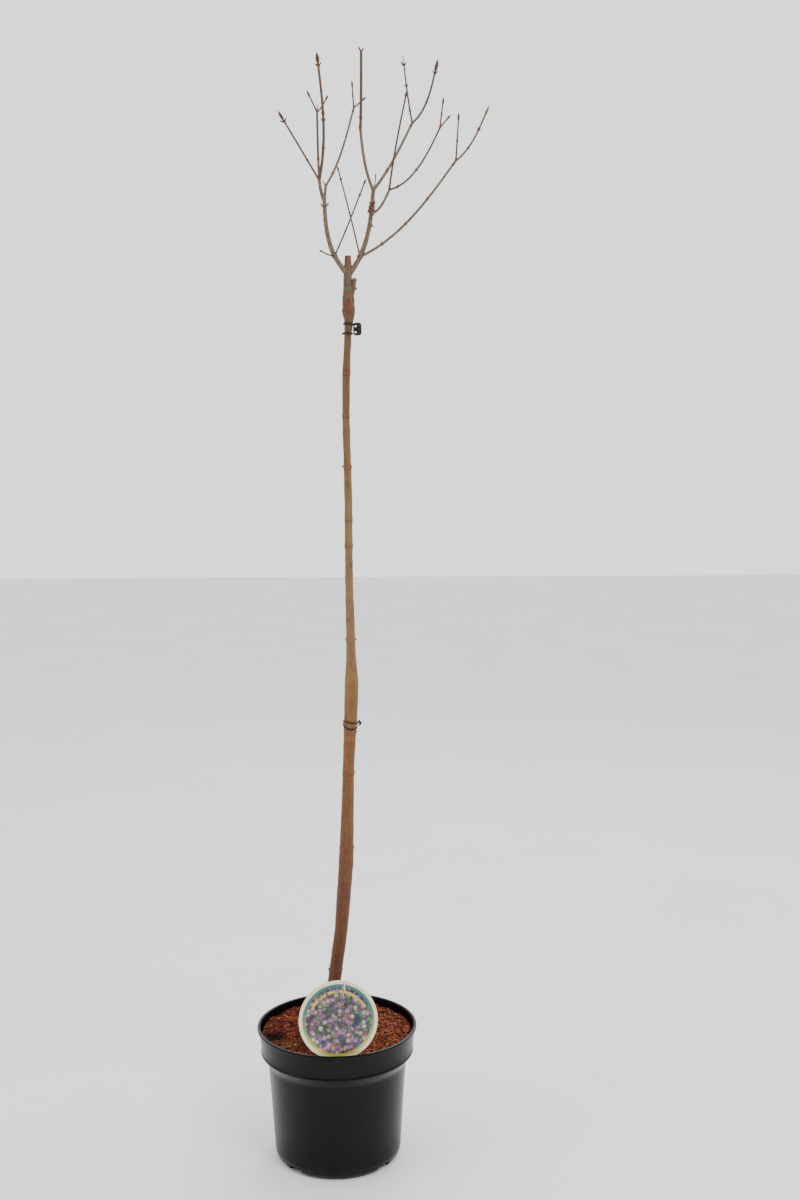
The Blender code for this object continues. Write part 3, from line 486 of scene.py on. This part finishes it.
# Shapes
class Build:
    """Gathers points, faces and per-point marks into one mesh."""

    def __init__(self):
        self.points, self.faces, self.marks = [], [], []

    def rows(self, rings, marks, closed=False):
        """Rings joined one to the next, and the last to the first where closed."""
        start, sides = len(self.points), len(rings[0])
        for ring, mark in zip(rings, marks):
            self.points.extend(ring)
            self.marks.extend(mark if isinstance(mark, list) else [mark] * sides)
        for row in range(len(rings) if closed else len(rings) - 1):
            low, high = start + row * sides, start + (row + 1) % len(rings) * sides
            for side in range(sides):
                after = (side + 1) % sides
                self.faces.append((low + side, low + after, high + after, high + side))
        return start

    def cap(self, start, ring, mark, flip):
        """Fan from the middle of a ring to its points."""
        self.points.append(sum(ring, Vector()) / len(ring))
        self.marks.append(mark[0] if isinstance(mark, list) else mark)
        centre = len(self.points) - 1
        for side in range(len(ring)):
            after = (side + 1) % len(ring)
            pair = (start + after, start + side) if flip else (start + side, start + after)
            self.faces.append((centre, *pair))

    def tube(self, rings, marks):
        """Rings joined and closed at both ends; one mark may stand for them all."""
        marks = [marks] * len(rings) if isinstance(marks, tuple) else marks
        start = self.rows(rings, marks)
        self.cap(start, rings[0], marks[0], True)
        self.cap(start + (len(rings) - 1) * len(rings[0]), rings[-1], marks[-1], False)

    def made(self, name, material, names=MARKS, smooth=True, split=40):
        mesh = bpy.data.meshes.new(name)
        mesh.from_pydata(self.points, [], self.faces)
        mesh.materials.append(material)
        for index, mark in enumerate(names):
            layer = mesh.attributes.new(mark, "FLOAT", "POINT")
            layer.data.foreach_set("value", [marks[index] for marks in self.marks])
        mesh.validate()
        if smooth:
            mesh.shade_smooth()
            mesh.set_sharp_from_angle(angle=math.radians(split))
        return placed(name, mesh)


def placed(name, data):
    made = bpy.data.objects.new(name, data)
    bpy.context.scene.collection.objects.link(made)
    return made


def keep(piece, slot, *nodes):
    """Rides a piece on the one body, and hides the nodes it stands for. The slot is not used."""
    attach(piece, BODY)
    if nodes:
        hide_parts(*nodes)


def turns(sides):
    return [2 * math.pi * side / sides for side in range(sides)]


def ring_about(centre, direction, across, radius, sides):
    """Circle of points about a direction, starting towards across."""
    across = (across - direction * across.dot(direction)).normalized()
    other = direction.cross(across)
    return [centre + radius * (math.cos(turn) * across + math.sin(turn) * other)
            for turn in turns(sides)]


def flat_ring(radius, height, sides, centre=(0, 0)):
    """Level circle of points."""
    left, front = centre
    return [Vector((left + radius * math.cos(turn), front + radius * math.sin(turn), height))
            for turn in turns(sides)]


def heading(compass, lean):
    """Unit direction from a compass angle and a lean from upright, in degrees."""
    turn, tip = math.radians(compass), math.radians(lean)
    return Vector((math.sin(tip) * math.cos(turn), math.sin(tip) * math.sin(turn), math.cos(tip)))


def between(value, table):
    """Reads a value off a table of places, in straight lines."""
    for (low, at_low), (high, at_high) in zip(table, table[1:]):
        if value <= high:
            return at_low + (at_high - at_low) * max(0, value - low) / (high - low)
    return table[-1][1]


def bell(distance, width):
    return math.exp(-((distance / width) ** 2))


class Stem:
    """A limb's centre line and radius, read at a place along it from 0 to 1."""

    def __init__(self, points, radius_at):
        self.points = points
        self.radius_at = radius_at

    def point_at(self, along):
        place = min(1, max(0, along)) * (len(self.points) - 1)
        step = min(int(place), len(self.points) - 2)
        return self.points[step].lerp(self.points[step + 1], place - step)

    def direction_at(self, along):
        reach = 0.5 / (len(self.points) - 1)
        return (self.point_at(along + reach) - self.point_at(along - reach)).normalized()


def limb_path(start, limb):
    """Centre line that turns from the lean at the root to the lean at the tip."""
    root_lean, tip_lean = limb.lean
    points = [start.copy()]
    for step in range(PATH_STEPS):
        left = 1 - (step + 0.5) / PATH_STEPS
        lean = tip_lean + (root_lean - tip_lean) * left**TURN_POWER
        points.append(points[-1] + heading(limb.compass, lean) * (limb.length * MM / PATH_STEPS))
    return points


def limb_radius(limb):
    """Radius that tapers along the limb and swells at its nodes."""
    root, tip = (diameter / 2 * MM for diameter in limb.thick)

    def radius_at(along):
        along = min(1, max(0, along))
        swell = sum(bell((along - node) * limb.length, NODE_WIDTH) for node in limb.nodes)
        return (root + (tip - root) * along) * (1 + NODE_SWELL * min(1, swell))

    return radius_at


def limb_places(limb):
    """Places for rings, close together at the ends and at the nodes."""
    marks = (0, 1, *limb.nodes)
    places, at = [0.0], 0.0
    while at < 1:
        near = min(abs(at - mark) for mark in marks) * limb.length
        at += (0.55 + 0.2 * min(near, 14)) / limb.length
        places.append(min(1.0, at))
    return places


def bud(build, place, direction, length, radius, tint=0.0, sides=12, red=0.2, scaly=1.0):
    """A pointed bud in overlapping scales on a short neck."""
    rows, tiers, edge = 15, 4, 0.1
    across = direction.orthogonal()
    rings, marks = [], []
    for row in range(rows + 1):
        at = row / rows
        body = math.sin(math.pi * min(1, 0.08 + at * 0.94)) ** 0.7 * (1 - 0.35 * at)
        scale = 1 + edge * (at * tiers % 1) if at < 0.9 else 1.0
        centre = place + direction * length * at
        ring = ring_about(centre, direction, across, radius * max(0.05, body) * scale, sides)
        quarter = 0.05 * radius
        for side, turn in enumerate(turns(sides)):
            wave = math.cos(2 * turn + (int(at * tiers) % 2) * math.pi)
            ring[side] += (ring[side] - centre).normalized() * quarter * wave
        rings.append(ring)
        marks.append((red, scaly, max(0.0, 0.75 * (at - 0.55) / 0.45), tint))
    build.tube(rings, marks)


def limb_shape(build, stem, limb, sides):
    """Bark tube of one limb with its collar, nodes, knuckle, buds or broken end."""
    across = Vector((0, -1, 0.1))
    rings, marks = [], []
    foot = 1.15 * stem.radius_at(0) / MM
    drift = Vector((uniform(0, 100), 0, 0))
    for place in limb_places(limb):
        at, direction = stem.point_at(place), stem.direction_at(place)
        run = place * limb.length
        collar = COLLAR_SWELL * bell(run, COLLAR_REACH * foot)
        radius = stem.radius_at(place) * (1 + collar) + BARK_THICK * MM
        ring = ring_about(at, direction, across, radius, sides)
        for side, point in enumerate(ring):
            wave = noise.noise(point * BARK_WAVES + drift) * BARK_RELIEF
            ring[side] = at + (point - at) * (1 + wave)
        rings.append(ring)
        past = [(place - node) * limb.length for node in limb.nodes]
        node = max((bell(gap, 2.3) for gap in past), default=0)
        line = max((bell(gap + 1.6, 0.5) for gap in past), default=0)
        red = 0.95 * bell(run, 9) if limb.name == "right_bough" else 0.2 * bell(run, 6)
        marks.append((min(1, 0.4 * node + red), 0.0, 0.7 * line, 0.0))
    tip, direction, radius = stem.points[-1], stem.direction_at(1), stem.radius_at(1)
    if limb.end in ("fork", "twin"):
        for angle in (20, 45, 65, 80):
            turn = math.radians(angle)
            rings.append(ring_about(tip + direction * radius * 1.05 * math.sin(turn), direction,
                                    across, radius * 1.05 * math.cos(turn), sides))
            marks.append((0.5, 0, 0, 0))
    elif limb.end == "cut":
        marks[-1] = (0.2, 0, 0.9, 0)
    build.tube(rings, marks)
    if limb.end == "bud":
        tint = 0.8 if limb.name == "low_east" else 0.0
        bud(build, tip - direction * 0.4 * MM, direction, limb.bud * MM, radius * 1.95, tint)
    if limb.end == "twin":
        twin_end(build, stem, limb)
    for count, node in enumerate(limb.nodes):
        node_buds(build, stem, node, count)


def node_buds(build, stem, node, count):
    """An opposite pair of small buds over crescent leaf scars."""
    axis = stem.direction_at(node)
    out = Matrix.Rotation(math.radians(35 + 90 * count), 3, axis) @ axis.orthogonal()
    big = 1.35 if node > 0.9 else 0.85
    for sign in (1, -1):
        side = sign * out
        lean = math.radians(30)
        direction = (axis * math.cos(lean) + side * math.sin(lean)).normalized()
        place = stem.point_at(node) + side * stem.radius_at(node) * 0.7
        length = uniform(3.2, 4.6) * big * MM
        bud(build, place, direction, length, uniform(0.75, 0.95) * big * MM, sides=9)
        scar = [place + side * 0.35 * MM * step - axis * (0.7 + 0.35 * step) * MM
                for step in (-1, 0, 1, 1.6)]
        widths = (0.4, 1.0, 0.8, 0.2)
        build.tube([ring_about(point, (side - 0.6 * axis).normalized(), axis, width * MM, 8)
                    for point, width in zip(scar, widths)], (0.6, 0, 0.35, 0))


def twin_end(build, stem, limb):
    """Two horn-like buds at a blunt tip, with last year's withered stalk where it stays."""
    axis, tip = stem.direction_at(1), stem.points[-1]
    out = Vector((1, 0.2, 0))
    out = (out - axis * out.dot(axis)).normalized()
    for sign, scale in ((-1, 1.0), (1, 0.8)):
        direction = (axis * 0.86 + sign * out * 0.5).normalized()
        place = tip + sign * out * stem.radius_at(1) * 0.35
        bud(build, place, direction, 8.4 * scale * MM, 1.55 * MM)
    if limb.bud:
        rings = [ring_about(tip + axis * limb.bud * MM * at + out * 0.3 * MM * math.sin(6 * at),
                            axis, out, width * MM, 10)
                 for at, width in ((0, 0.9), (0.3, 0.7), (0.6, 0.62), (0.93, 0.6), (1, 0.8))]
        build.tube(rings, (0, 0, 0.6, 0))


def trunk_stem():
    """Centre line and girth of the trunk, smoothed over a few millimetres of height."""
    sideways = [(height, place) for height, place, _ in TRUNK_STATIONS]
    girth = [(height, diameter / 2) for height, _, diameter in TRUNK_STATIONS]
    rise = TRUNK_TOP - TRUNK_FOOT
    heights = [TRUNK_FOOT + rise * step / TRUNK_STEPS for step in range(TRUNK_STEPS + 1)]
    points = [Vector((between(height, sideways), 0, height)) * MM for height in heights]

    def radius_at(along):
        at = TRUNK_FOOT + rise * min(1, max(0, along))
        near = [between(at + shift, girth) for shift in TRUNK_SMOOTHING]
        return sum(near) / len(near) * MM

    return Stem(points, radius_at)


def trunk_along(height):
    return (height - TRUNK_FOOT) / (TRUNK_TOP - TRUNK_FOOT)


def trunk_shape(trunk):
    """Bark of the trunk, with knots, scar rings, the rough graft union and the cut leader."""
    build = Build()
    rise = TRUNK_TOP - TRUNK_FOOT
    rows = round(rise / TRUNK_ROW)
    rings, marks = [], []
    for row in range(rows + 1):
        height = TRUNK_FOOT + rise * row / rows
        along = trunk_along(height)
        centre, radius = trunk.point_at(along), trunk.radius_at(along)
        graft = bell(height - GRAFT_HEIGHT, GRAFT_REACH)
        swell = sum(RING_SWELL * bell(height - knot[0], RING_REACH) for knot in TRUNK_KNOTS)
        knots = max(bell(height - knot[0], 5) * knot[4] for knot in TRUNK_KNOTS)
        under = max(bell(height - knot[0] + 3, 0.9) for knot in TRUNK_KNOTS)
        over = max(bell(height - knot[0] - 3.5, 0.9) * knot[4] for knot in TRUNK_KNOTS)
        pale = bell(height - GREEN_BAND_HEIGHT, GREEN_BAND_REACH) * 0.5
        ring, ring_marks = [], []
        for turn in turns(TRUNK_SIDES):
            out = Vector((math.cos(turn), math.sin(turn), 0))
            at = centre + out * radius
            fine = noise.noise(Vector((at.x * 420, at.y * 420, at.z * 45))) * 0.28
            broad = noise.noise(at * 60 + Vector((7, 3, 1))) * 0.45
            rough = graft * (noise.noise(at * 190) * 2.6 + noise.noise(at * 420) * 1.1)
            foot = bell(height - TRUNK_FOOT, 16) * 0.5 * math.cos(3 * turn + 0.6)
            ring.append(centre + out * (radius + (fine + broad + rough + foot + swell) * MM))
            crust = max(0.0, noise.noise(at * 260 + Vector((4, 9, 2))))
            front = max(0.0, math.cos(turn + math.pi / 2 + 0.2))
            ruddy = min(1, knots + graft * (0.1 + front * front * (0.25 + 2.2 * crust)))
            pits = graft * max(0.0, noise.noise(at * 330)) * 1.3
            ring_marks.append((ruddy, 0.0, min(1, 0.5 * max(under, over) + pits), pale))
        rings.append(ring)
        marks.append(ring_marks)
    build.tube(rings, marks)
    for height, compass, size, share, _ in TRUNK_KNOTS:
        along = trunk_along(height)
        for turn, scale in ((compass, 1), (compass + 180, share)):
            out = heading(turn, 62)
            place = trunk.point_at(along) + heading(turn, 90) * trunk.radius_at(along) * 0.78
            bud(build, place, out, size * scale * 1.15 * MM, size * scale * 0.62 * MM, sides=14)
    for height, compass, size in TRUNK_EYES:
        along = trunk_along(height)
        out = heading(compass, 90)
        place = trunk.point_at(along) + out * (trunk.radius_at(along) - 0.2 * MM)
        rings = [ring_about(place + out * depth * MM, out, UP, size * width * MM, 14)
                 for depth, width in ((0, 1.5), (0.35, 1.3), (0.45, 0.8), (0.1, 0.5), (0, 0.1))]
        build.tube(rings, [(0.3, 0, 0, 0.5), (0.4, 0, 0.2, 0.3), (0.2, 0, 0.9, 0),
                           (0, 0, 1, 0), (0, 0, 1, 0)])
    return build


def snag_shape(build, trunk):
    """The cut side shoot at the graft, with its knobs."""
    limb = Limb("trunk", "snag", "trunk", trunk_along(1338), -8, (26, 8), 36, (7.4, 6.4), (),
                "cut")
    start = trunk.point_at(limb.along) + Vector((MM, 0, 0))
    stem = Stem(limb_path(start, limb), limb_radius(limb))
    limb_shape(build, stem, limb, 16)
    for turn, reach, size in ((0, 0.55, 3.3), (-60, 0.48, 2.0), (40, 0.62, 1.8)):
        out = heading(turn, 78)
        place = stem.point_at(reach) + out * stem.radius_at(reach) * 0.7
        bud(build, place, out, size * 1.3 * MM, size * 0.75 * MM)


def burr_shape(build, stem):
    """Scaly burr, snapped ring and thin dead spurs on the right bough."""
    scales, middle, half_reach = 46, 0.795, 0.075
    for _ in range(scales):
        along = middle + half_reach * uniform(-1, 1)
        compass, lean = uniform(0, 360), uniform(35, 115)
        place = stem.point_at(along) + heading(compass, 90) * stem.radius_at(along) * 0.7
        length, width = uniform(2.4, 5.2), uniform(0.8, 1.6)
        bud(build, place, heading(compass, lean), length * MM, width * MM, sides=8,
            red=DRAW.choice((0.8, 1.0, 1.0)), scaly=DRAW.choice((0.0, 0.2, 0.6)))
    out, place = heading(-10, 70), stem.point_at(0.6)
    rings = [ring_about(place + out * reach * MM, out, UP, width * MM, 16)
             for reach, width in ((0, 2.3), (3.6, 2.2), (4.2, 2.7), (5.8, 2.8), (6.0, 2.2))]
    build.tube(rings, [(0.6, 0, 0, 0), (0.5, 0, 0, 0.1), (0.3, 0, 0.3, 0), (0, 0, 0, 0.9),
                       (0, 0, 0.1, 0.9)])
    # Spurs: place along the bough, compass, lean, length and width
    for along, compass, lean, length, width in (
        (0.83, -35, 62, 8, 0.5), (0.84, -20, 84, 10, 0.35), (0.82, 190, 30, 5, 0.7),
        (0.8, -15, 70, 6.5, 0.6),
    ):
        spur = Limb("right_bough", "spur", "right_bough", along, compass, (lean, lean - 12),
                    length, (2 * width, width), (), "cut")
        twig = Stem(limb_path(stem.point_at(along), spur), limb_radius(spur))
        limb_shape(build, twig, spur, 8)


def make_tree(bark, bough_bark, twig_bark):
    """Trunk, boughs and twigs; each mesh stands for the solid that its limbs belong to."""
    trunk = trunk_stem()
    build = trunk_shape(trunk)
    snag_shape(build, trunk)
    keep(build.made("trunk_bark_mesh", bark), "stem_bark", "trunk")
    stems, builds = {"trunk": trunk}, {}
    for row in LIMB_TABLE:
        limb = Limb(*row)
        stem = Stem(limb_path(stems[limb.parent].point_at(limb.along), limb), limb_radius(limb))
        stems[limb.name] = stem
        shape = builds.setdefault(limb.solid, Build())
        limb_shape(shape, stem, limb, 18 if limb.thick[0] > 3.7 else 14)
    burr_shape(builds["right_bough"], stems["right_bough"])
    for solid, shape in builds.items():
        in_mass = solid.endswith("_twigs")
        piece = shape.made(f"{solid}_bark", twig_bark if in_mass else bough_bark)
        keep(piece, "twig_bark" if in_mass else "stem_bark", solid)
    return trunk


# Pot, mix, label and ties
def boolean(body, other, operation="DIFFERENCE"):
    """Cuts another shape from a body, or joins it on, and uses it up."""
    change = body.modifiers.new("change", "BOOLEAN")
    change.operation = operation
    change.object = other
    graph = bpy.context.evaluated_depsgraph_get()
    result = bpy.data.meshes.new_from_object(body.evaluated_get(graph))
    body.modifiers.clear()
    body.data = result
    body.data.shade_smooth()
    body.data.set_sharp_from_angle(angle=math.radians(35))
    bpy.data.objects.remove(other)


def block(name, size, matrix):
    """A box to cut or join, its size in millimetres."""
    wide, deep, high = (side * MM / 2 for side in size)
    points = [matrix @ Vector((x * wide, y * deep, z * high))
              for x in (-1, 1) for y in (-1, 1) for z in (-1, 1)]
    faces = [(0, 1, 3, 2), (4, 6, 7, 5), (0, 4, 5, 1), (2, 3, 7, 6), (0, 2, 6, 4), (1, 5, 7, 3)]
    mesh = bpy.data.meshes.new(name)
    mesh.from_pydata(points, [], faces)
    return placed(name, mesh)


def shifted(place):
    """Move by a place in millimetres."""
    return Matrix.Translation([side * MM for side in place])


def turned(degrees, axis="Z"):
    return Matrix.Rotation(math.radians(degrees), 4, axis)


def make_pot(material):
    """Pot shell with its lip, its band and the water notches in its foot."""
    build = Build()
    rings = [[point * MM for point in flat_ring(radius, height, POT_SIDES)]
             for radius, height in WALL]
    build.tube(rings, PLAIN)
    pot = build.made("pot_shell", material, split=30)
    for compass in NOTCHES:
        boolean(pot, block("notch", NOTCH_SIZE, turned(compass) @ shifted(NOTCH_PLACE)))
    keep(pot, "black_plastic", "pot")


def away(x, y, spot):
    """Distance in metres from a spot that is given in millimetres."""
    return math.hypot(x - spot[0] * MM, y - spot[1] * MM)


def mix_height(x, y):
    """Top of the mix in metres, with lumps and one hollow at the left; the darkness of the hollow
    is painted shade.
    """
    spot = Vector((x, y, 0.3))
    lump = noise.noise(spot * 38) * 3.0 + noise.noise(spot * 120) * 1.6 + noise.noise(spot * 320)
    hollow = max(0.0, 1 - away(x, y, HOLLOW) / (HOLLOW_RADIUS * MM))
    return (MIX_TOP + lump - HOLLOW_DEPTH * hollow * hollow * (3 - 2 * hollow)) * MM


# Painted shade of the hollow: full within 9 mm of its middle, fading out to nothing at 24 mm
def hollow_painted_shade(x, y):
    return max(0.0, min(1.0, 1.6 - away(x, y, HOLLOW) / (HOLLOW_SHADE * MM)))


def make_bed(material):
    """Lumpy top of the mix and the part of it that the pot hides."""
    build = Build()
    rings, marks = [], []
    for row in range(MIX_ROWS):
        ring = flat_ring(MIX_EDGE * (1 - row / MIX_ROWS) * MM, 0, MIX_SIDES)
        for point in ring:
            point.z = mix_height(point.x, point.y)
        rings.append(ring)
        # Tone per point; the dark mark darkens the whole bed a little and adds painted shade in the
        # hollow
        marks.append([(0.3 + 0.4 * noise.noise(point * 200), 0.0,
                       min(1.0, 0.25 + hollow_painted_shade(point.x, point.y)), 0.0) for point in ring])
    low = [Vector((point.x * 0.94, point.y * 0.94, 0.19)) for point in rings[0]]
    build.tube([low, *rings], [(0.2, 0, 0.8, 0), *marks])
    keep(build.made("mix_bed", material), "bark_mix", "potting_mix")


def make_shreds(material):
    """Loose bent shreds of bark on the mix, a few of them long, pale or mossy."""
    shreds = Build()
    for _ in range(SHREDS):
        radius, turn = SHRED_REACH * math.sqrt(DRAW.random()) * MM, uniform(0, 2 * math.pi)
        x, y = radius * math.cos(turn), radius * math.sin(turn)
        long = DRAW.random() < LONG_SHARE
        length = (uniform(9, 24) if long else uniform(2.5, 9)) * MM
        width = (uniform(0.5, 1.3) if long else uniform(0.9, 2.8)) * MM
        thick = uniform(0.3, 0.8) * MM
        face = uniform(0, 2 * math.pi)
        lift = uniform(-0.25, 0.35)
        direction = Vector((math.cos(face), math.sin(face), lift)).normalized()
        centre = Vector((x, y, mix_height(x, y) + uniform(0.1, 1.6) * MM))
        ends = [centre + direction * length * side for side in (-0.5, 0.5)]
        if max(math.hypot(end.x, end.y) for end in ends) > SHRED_LIMIT * MM:
            continue
        across = direction.cross(UP).normalized()
        across = (across + Vector((0, 0, uniform(-0.5, 0.5)))).normalized()
        up = across.cross(direction).normalized()
        bend = up * uniform(-0.12, 0.2) * length
        tone = DRAW.random()
        # Shreds in the hollow take its painted shade, and none there are pale
        dark = hollow_painted_shade(x, y)
        share = STRAW_SHARE if x > STRAW_FROM * MM else STRAY_SHARE
        pale = 1.0 if DRAW.random() < share and dark < 0.3 else 0.0
        mossy = 1.0 if away(x, y, MOSS) < MOSS_RADIUS * MM and tone < 0.5 else 0.0
        rings = []
        for at in (0, 0.33, 0.67, 1):
            middle = ends[0].lerp(ends[1], at) + bend * math.sin(math.pi * at)
            taper = 1 if 0 < at < 1 else 0.45
            rings.append([middle + across * width / 2 * taper * side + up * thick / 2 * rise
                          for side, rise in ((-1, -0.6), (1, -1), (0.8, 1), (-0.9, 0.7))])
        shreds.tube(rings, (tone, mossy, min(1.0, dark), pale))
    keep(shreds.made("bark_shreds", material, smooth=False), "bark_mix")


LABEL_FRAME = shifted(LABEL_CENTRE) @ turned(LABEL_YAW) @ turned(LABEL_TILT, "X")


def make_label(material):
    """Round card with a rolled edge, hanging hole, slit and stalk."""
    build = Build()
    rings, marks = [], []

    def row(reach, height, back):
        ring = flat_ring(reach, height, LABEL_SIDES)
        rings.append([LABEL_FRAME @ (point * MM) for point in ring])
        share = reach / LABEL_RADIUS
        marks.append([(point.x / LABEL_RADIUS, point.y / LABEL_RADIUS, share, back)
                      for point in ring])

    edge = LABEL_RADIUS - 0.4
    for reach in (2, 20, 40, edge):
        row(reach, -LABEL_HALF, 1.0)
    row(LABEL_RADIUS, 0, 0.6)
    row(edge, LABEL_HALF, 0.0)
    for step in range(LABEL_ROWS):
        row(LABEL_RADIUS - 1 - 57 * step / (LABEL_ROWS - 1), LABEL_HALF, 0.0)
    build.tube(rings, marks)
    label = build.made("label_card", material, ("across", "up", "reach", "back"), split=60)
    boolean(label, block("stalk", STALK_SIZE, LABEL_FRAME @ shifted(STALK_CENTRE)), "UNION")
    hole = Build()
    hole.tube([[LABEL_FRAME @ (point * MM) for point in
                flat_ring(HOLE_RADIUS, side, HOLE_SIDES, HOLE_CENTRE)] for side in (-2, 2)], PLAIN)
    boolean(label, hole.made("hole", material))
    slit_frame = LABEL_FRAME @ shifted(SLIT_CENTRE) @ turned(SLIT_TURN)
    boolean(label, block("slit", SLIT_SIZE, slit_frame))
    label.data.materials.clear()
    label.data.materials.append(material)
    keep(label, "label_face", "plant_label")


def band(build, trunk, height, side_rise, front_rise, wide, thick, clear):
    """Band round the trunk whose height changes from side to side and towards the front."""
    rings = []
    for turn in turns(BAND_STEPS):
        out = Vector((math.cos(turn), math.sin(turn), 0))
        at = trunk_along(height + side_rise * math.cos(turn) - front_rise * math.sin(turn))
        reach = trunk.radius_at(at) + clear * MM
        centre = trunk.point_at(at)
        rings.append([centre + out * (reach + thick * MM * depth) + UP * (wide / 2 * side * MM)
                      for depth, side in reversed(BAND_PROFILE)])
    build.rows(rings, [PLAIN] * len(rings), closed=True)


def make_lower_tie(trunk, material):
    """Two bands and a knot of three lobes."""
    tie = Build()
    for sizes in LOWER_BANDS:
        band(tie, trunk, *sizes)
    centre = trunk.point_at(trunk_along(KNOT_HEIGHT))
    for *place, size in KNOT_LOBES:
        foot = centre + Vector(place) * MM - UP * size * MM
        bud(tie, foot, Vector((0.15, 0, 1)).normalized(), size * 2.2 * MM, size * 0.95 * MM,
            sides=14)
    keep(tie.made("lower_tie_band", material), "tie_rubber", "lower_tie")


def make_upper_tie(trunk, material):
    """Two bands, the tail that sticks out at the left, and a rounded clip with two slots."""
    tie = Build()
    for sizes in UPPER_BANDS:
        band(tie, trunk, *sizes)
    tail = trunk.point_at(trunk_along(TAIL_HEIGHT)) + Vector((-7.6, -1.5, 0)) * MM
    profile = ((-1.4, -1.2), (-0.4, -1.2), (-0.4, 1.2), (-1.4, 1.2))
    tie.tube([[tail + Vector((x, y, z)) * MM for y, z in profile] for x in (2.5, 0, -1.6)], PLAIN)
    keep(tie.made("upper_tie_band", material), "tie_rubber", "upper_tie")
    body = Build()
    outline = [[math.copysign(abs(side) ** 0.5, side) for side in (math.cos(turn), math.sin(turn))]
               for turn in turns(CLIP_SIDES)]
    middle = Vector(CLIP_CENTRE) * MM
    body.tube([[middle + Vector((CLIP_HALF_WIDE * share * x, depth, CLIP_HALF_HIGH * share * z))
                * MM for x, z in outline] for depth, share in CLIP_LAYERS], PLAIN)
    clip = body.made("clip", material)
    for place in CLIP_SLOT_PLACES:
        there = Matrix.Translation(middle + Vector(place) * MM)
        boolean(clip, block("slot", CLIP_SLOT, there))
    clip.data.materials.clear()
    clip.data.materials.append(material)
    keep(clip, "tie_rubber")


# Floor, light and camera
def make_stage():
    """Pale floor, a hair under the pot."""
    mesh = bpy.data.meshes.new("floor")
    corners = [(x * FLOOR_HALF, y * FLOOR_HALF, 0) for x, y in ((-1, -1), (1, -1), (1, 1), (-1, 1))]
    mesh.from_pydata(corners, [], [(0, 1, 2, 3)])
    mesh.materials.append(floor_paint())
    floor = placed("floor", mesh)
    floor.location.z = -0.2 * MM


def make_surround():
    """Soft glow all round, brighter above and behind the plant than in front of it."""
    world = bpy.data.worlds.new("studio")
    world.use_nodes = True
    nodes = Nodes(world.node_tree)
    ground = nodes.tree.nodes["Background"]
    way = nodes.node("TexCoord").outputs["Generated"]
    back_and_up = nodes.node("VectorMath", {0: way, 1: (0, 0.7, 0.7)}, operation="DOT_PRODUCT")
    feeds = dict(zip(RANGE, (-0.5, 0.6, FRONT_GLOW, BACK_GLOW)))
    glow = nodes.node("MapRange", {"Value": back_and_up.outputs["Value"], **feeds},
                      interpolation_type="SMOOTHSTEP")
    nodes.feed((0.985, 0.985, 1.0), ground.inputs["Color"])
    nodes.feed(glow.outputs[0], ground.inputs["Strength"])
    bpy.context.scene.world = world


def make_lights():
    for name, place, aim, size, power, colour in LIGHTS:
        lamp = bpy.data.lights.new(name, "AREA")
        lamp.shape = "RECTANGLE"
        lamp.size, lamp.size_y = size
        lamp.energy, lamp.color = power, colour
        holder = placed(name, lamp)
        holder.location = place
        holder.rotation_euler = (Vector(aim) - Vector(place)).to_track_quat("-Z", "Y").to_euler()


def make_camera():
    data = bpy.data.cameras.new("camera")
    data.sensor_fit = "VERTICAL"
    data.sensor_width, data.sensor_height = SENSOR
    data.lens = LENS
    camera = placed("camera", data)
    turn = turned(90 - LOOK_DOWN, "X") @ Matrix.Rotation(ROLL, 4, "Z")
    camera.matrix_world = Matrix.Translation(EYE) @ turn
    bpy.context.scene.camera = camera


trunk_line = make_tree(
    trunk_paint(),
    twig_paint("bough_bark", srgb(158, 140, 118), srgb(112, 92, 72)),
    twig_paint("twig_bark_fine", srgb(128, 104, 80), srgb(86, 64, 47)),
)
make_pot(pot_paint())
make_bed(mix_paint("mix_crumb", srgb(26, 8, 4), srgb(88, 28, 10), srgb(136, 54, 20)))
make_shreds(mix_paint("mix_shred", srgb(42, 13, 6), srgb(124, 42, 15), srgb(186, 88, 42)))
make_label(label_paint())
black_tie = tie_paint()
make_lower_tie(trunk_line, black_tie)
make_upper_tie(trunk_line, black_tie)
make_stage()
make_surround()
make_lights()
make_camera()
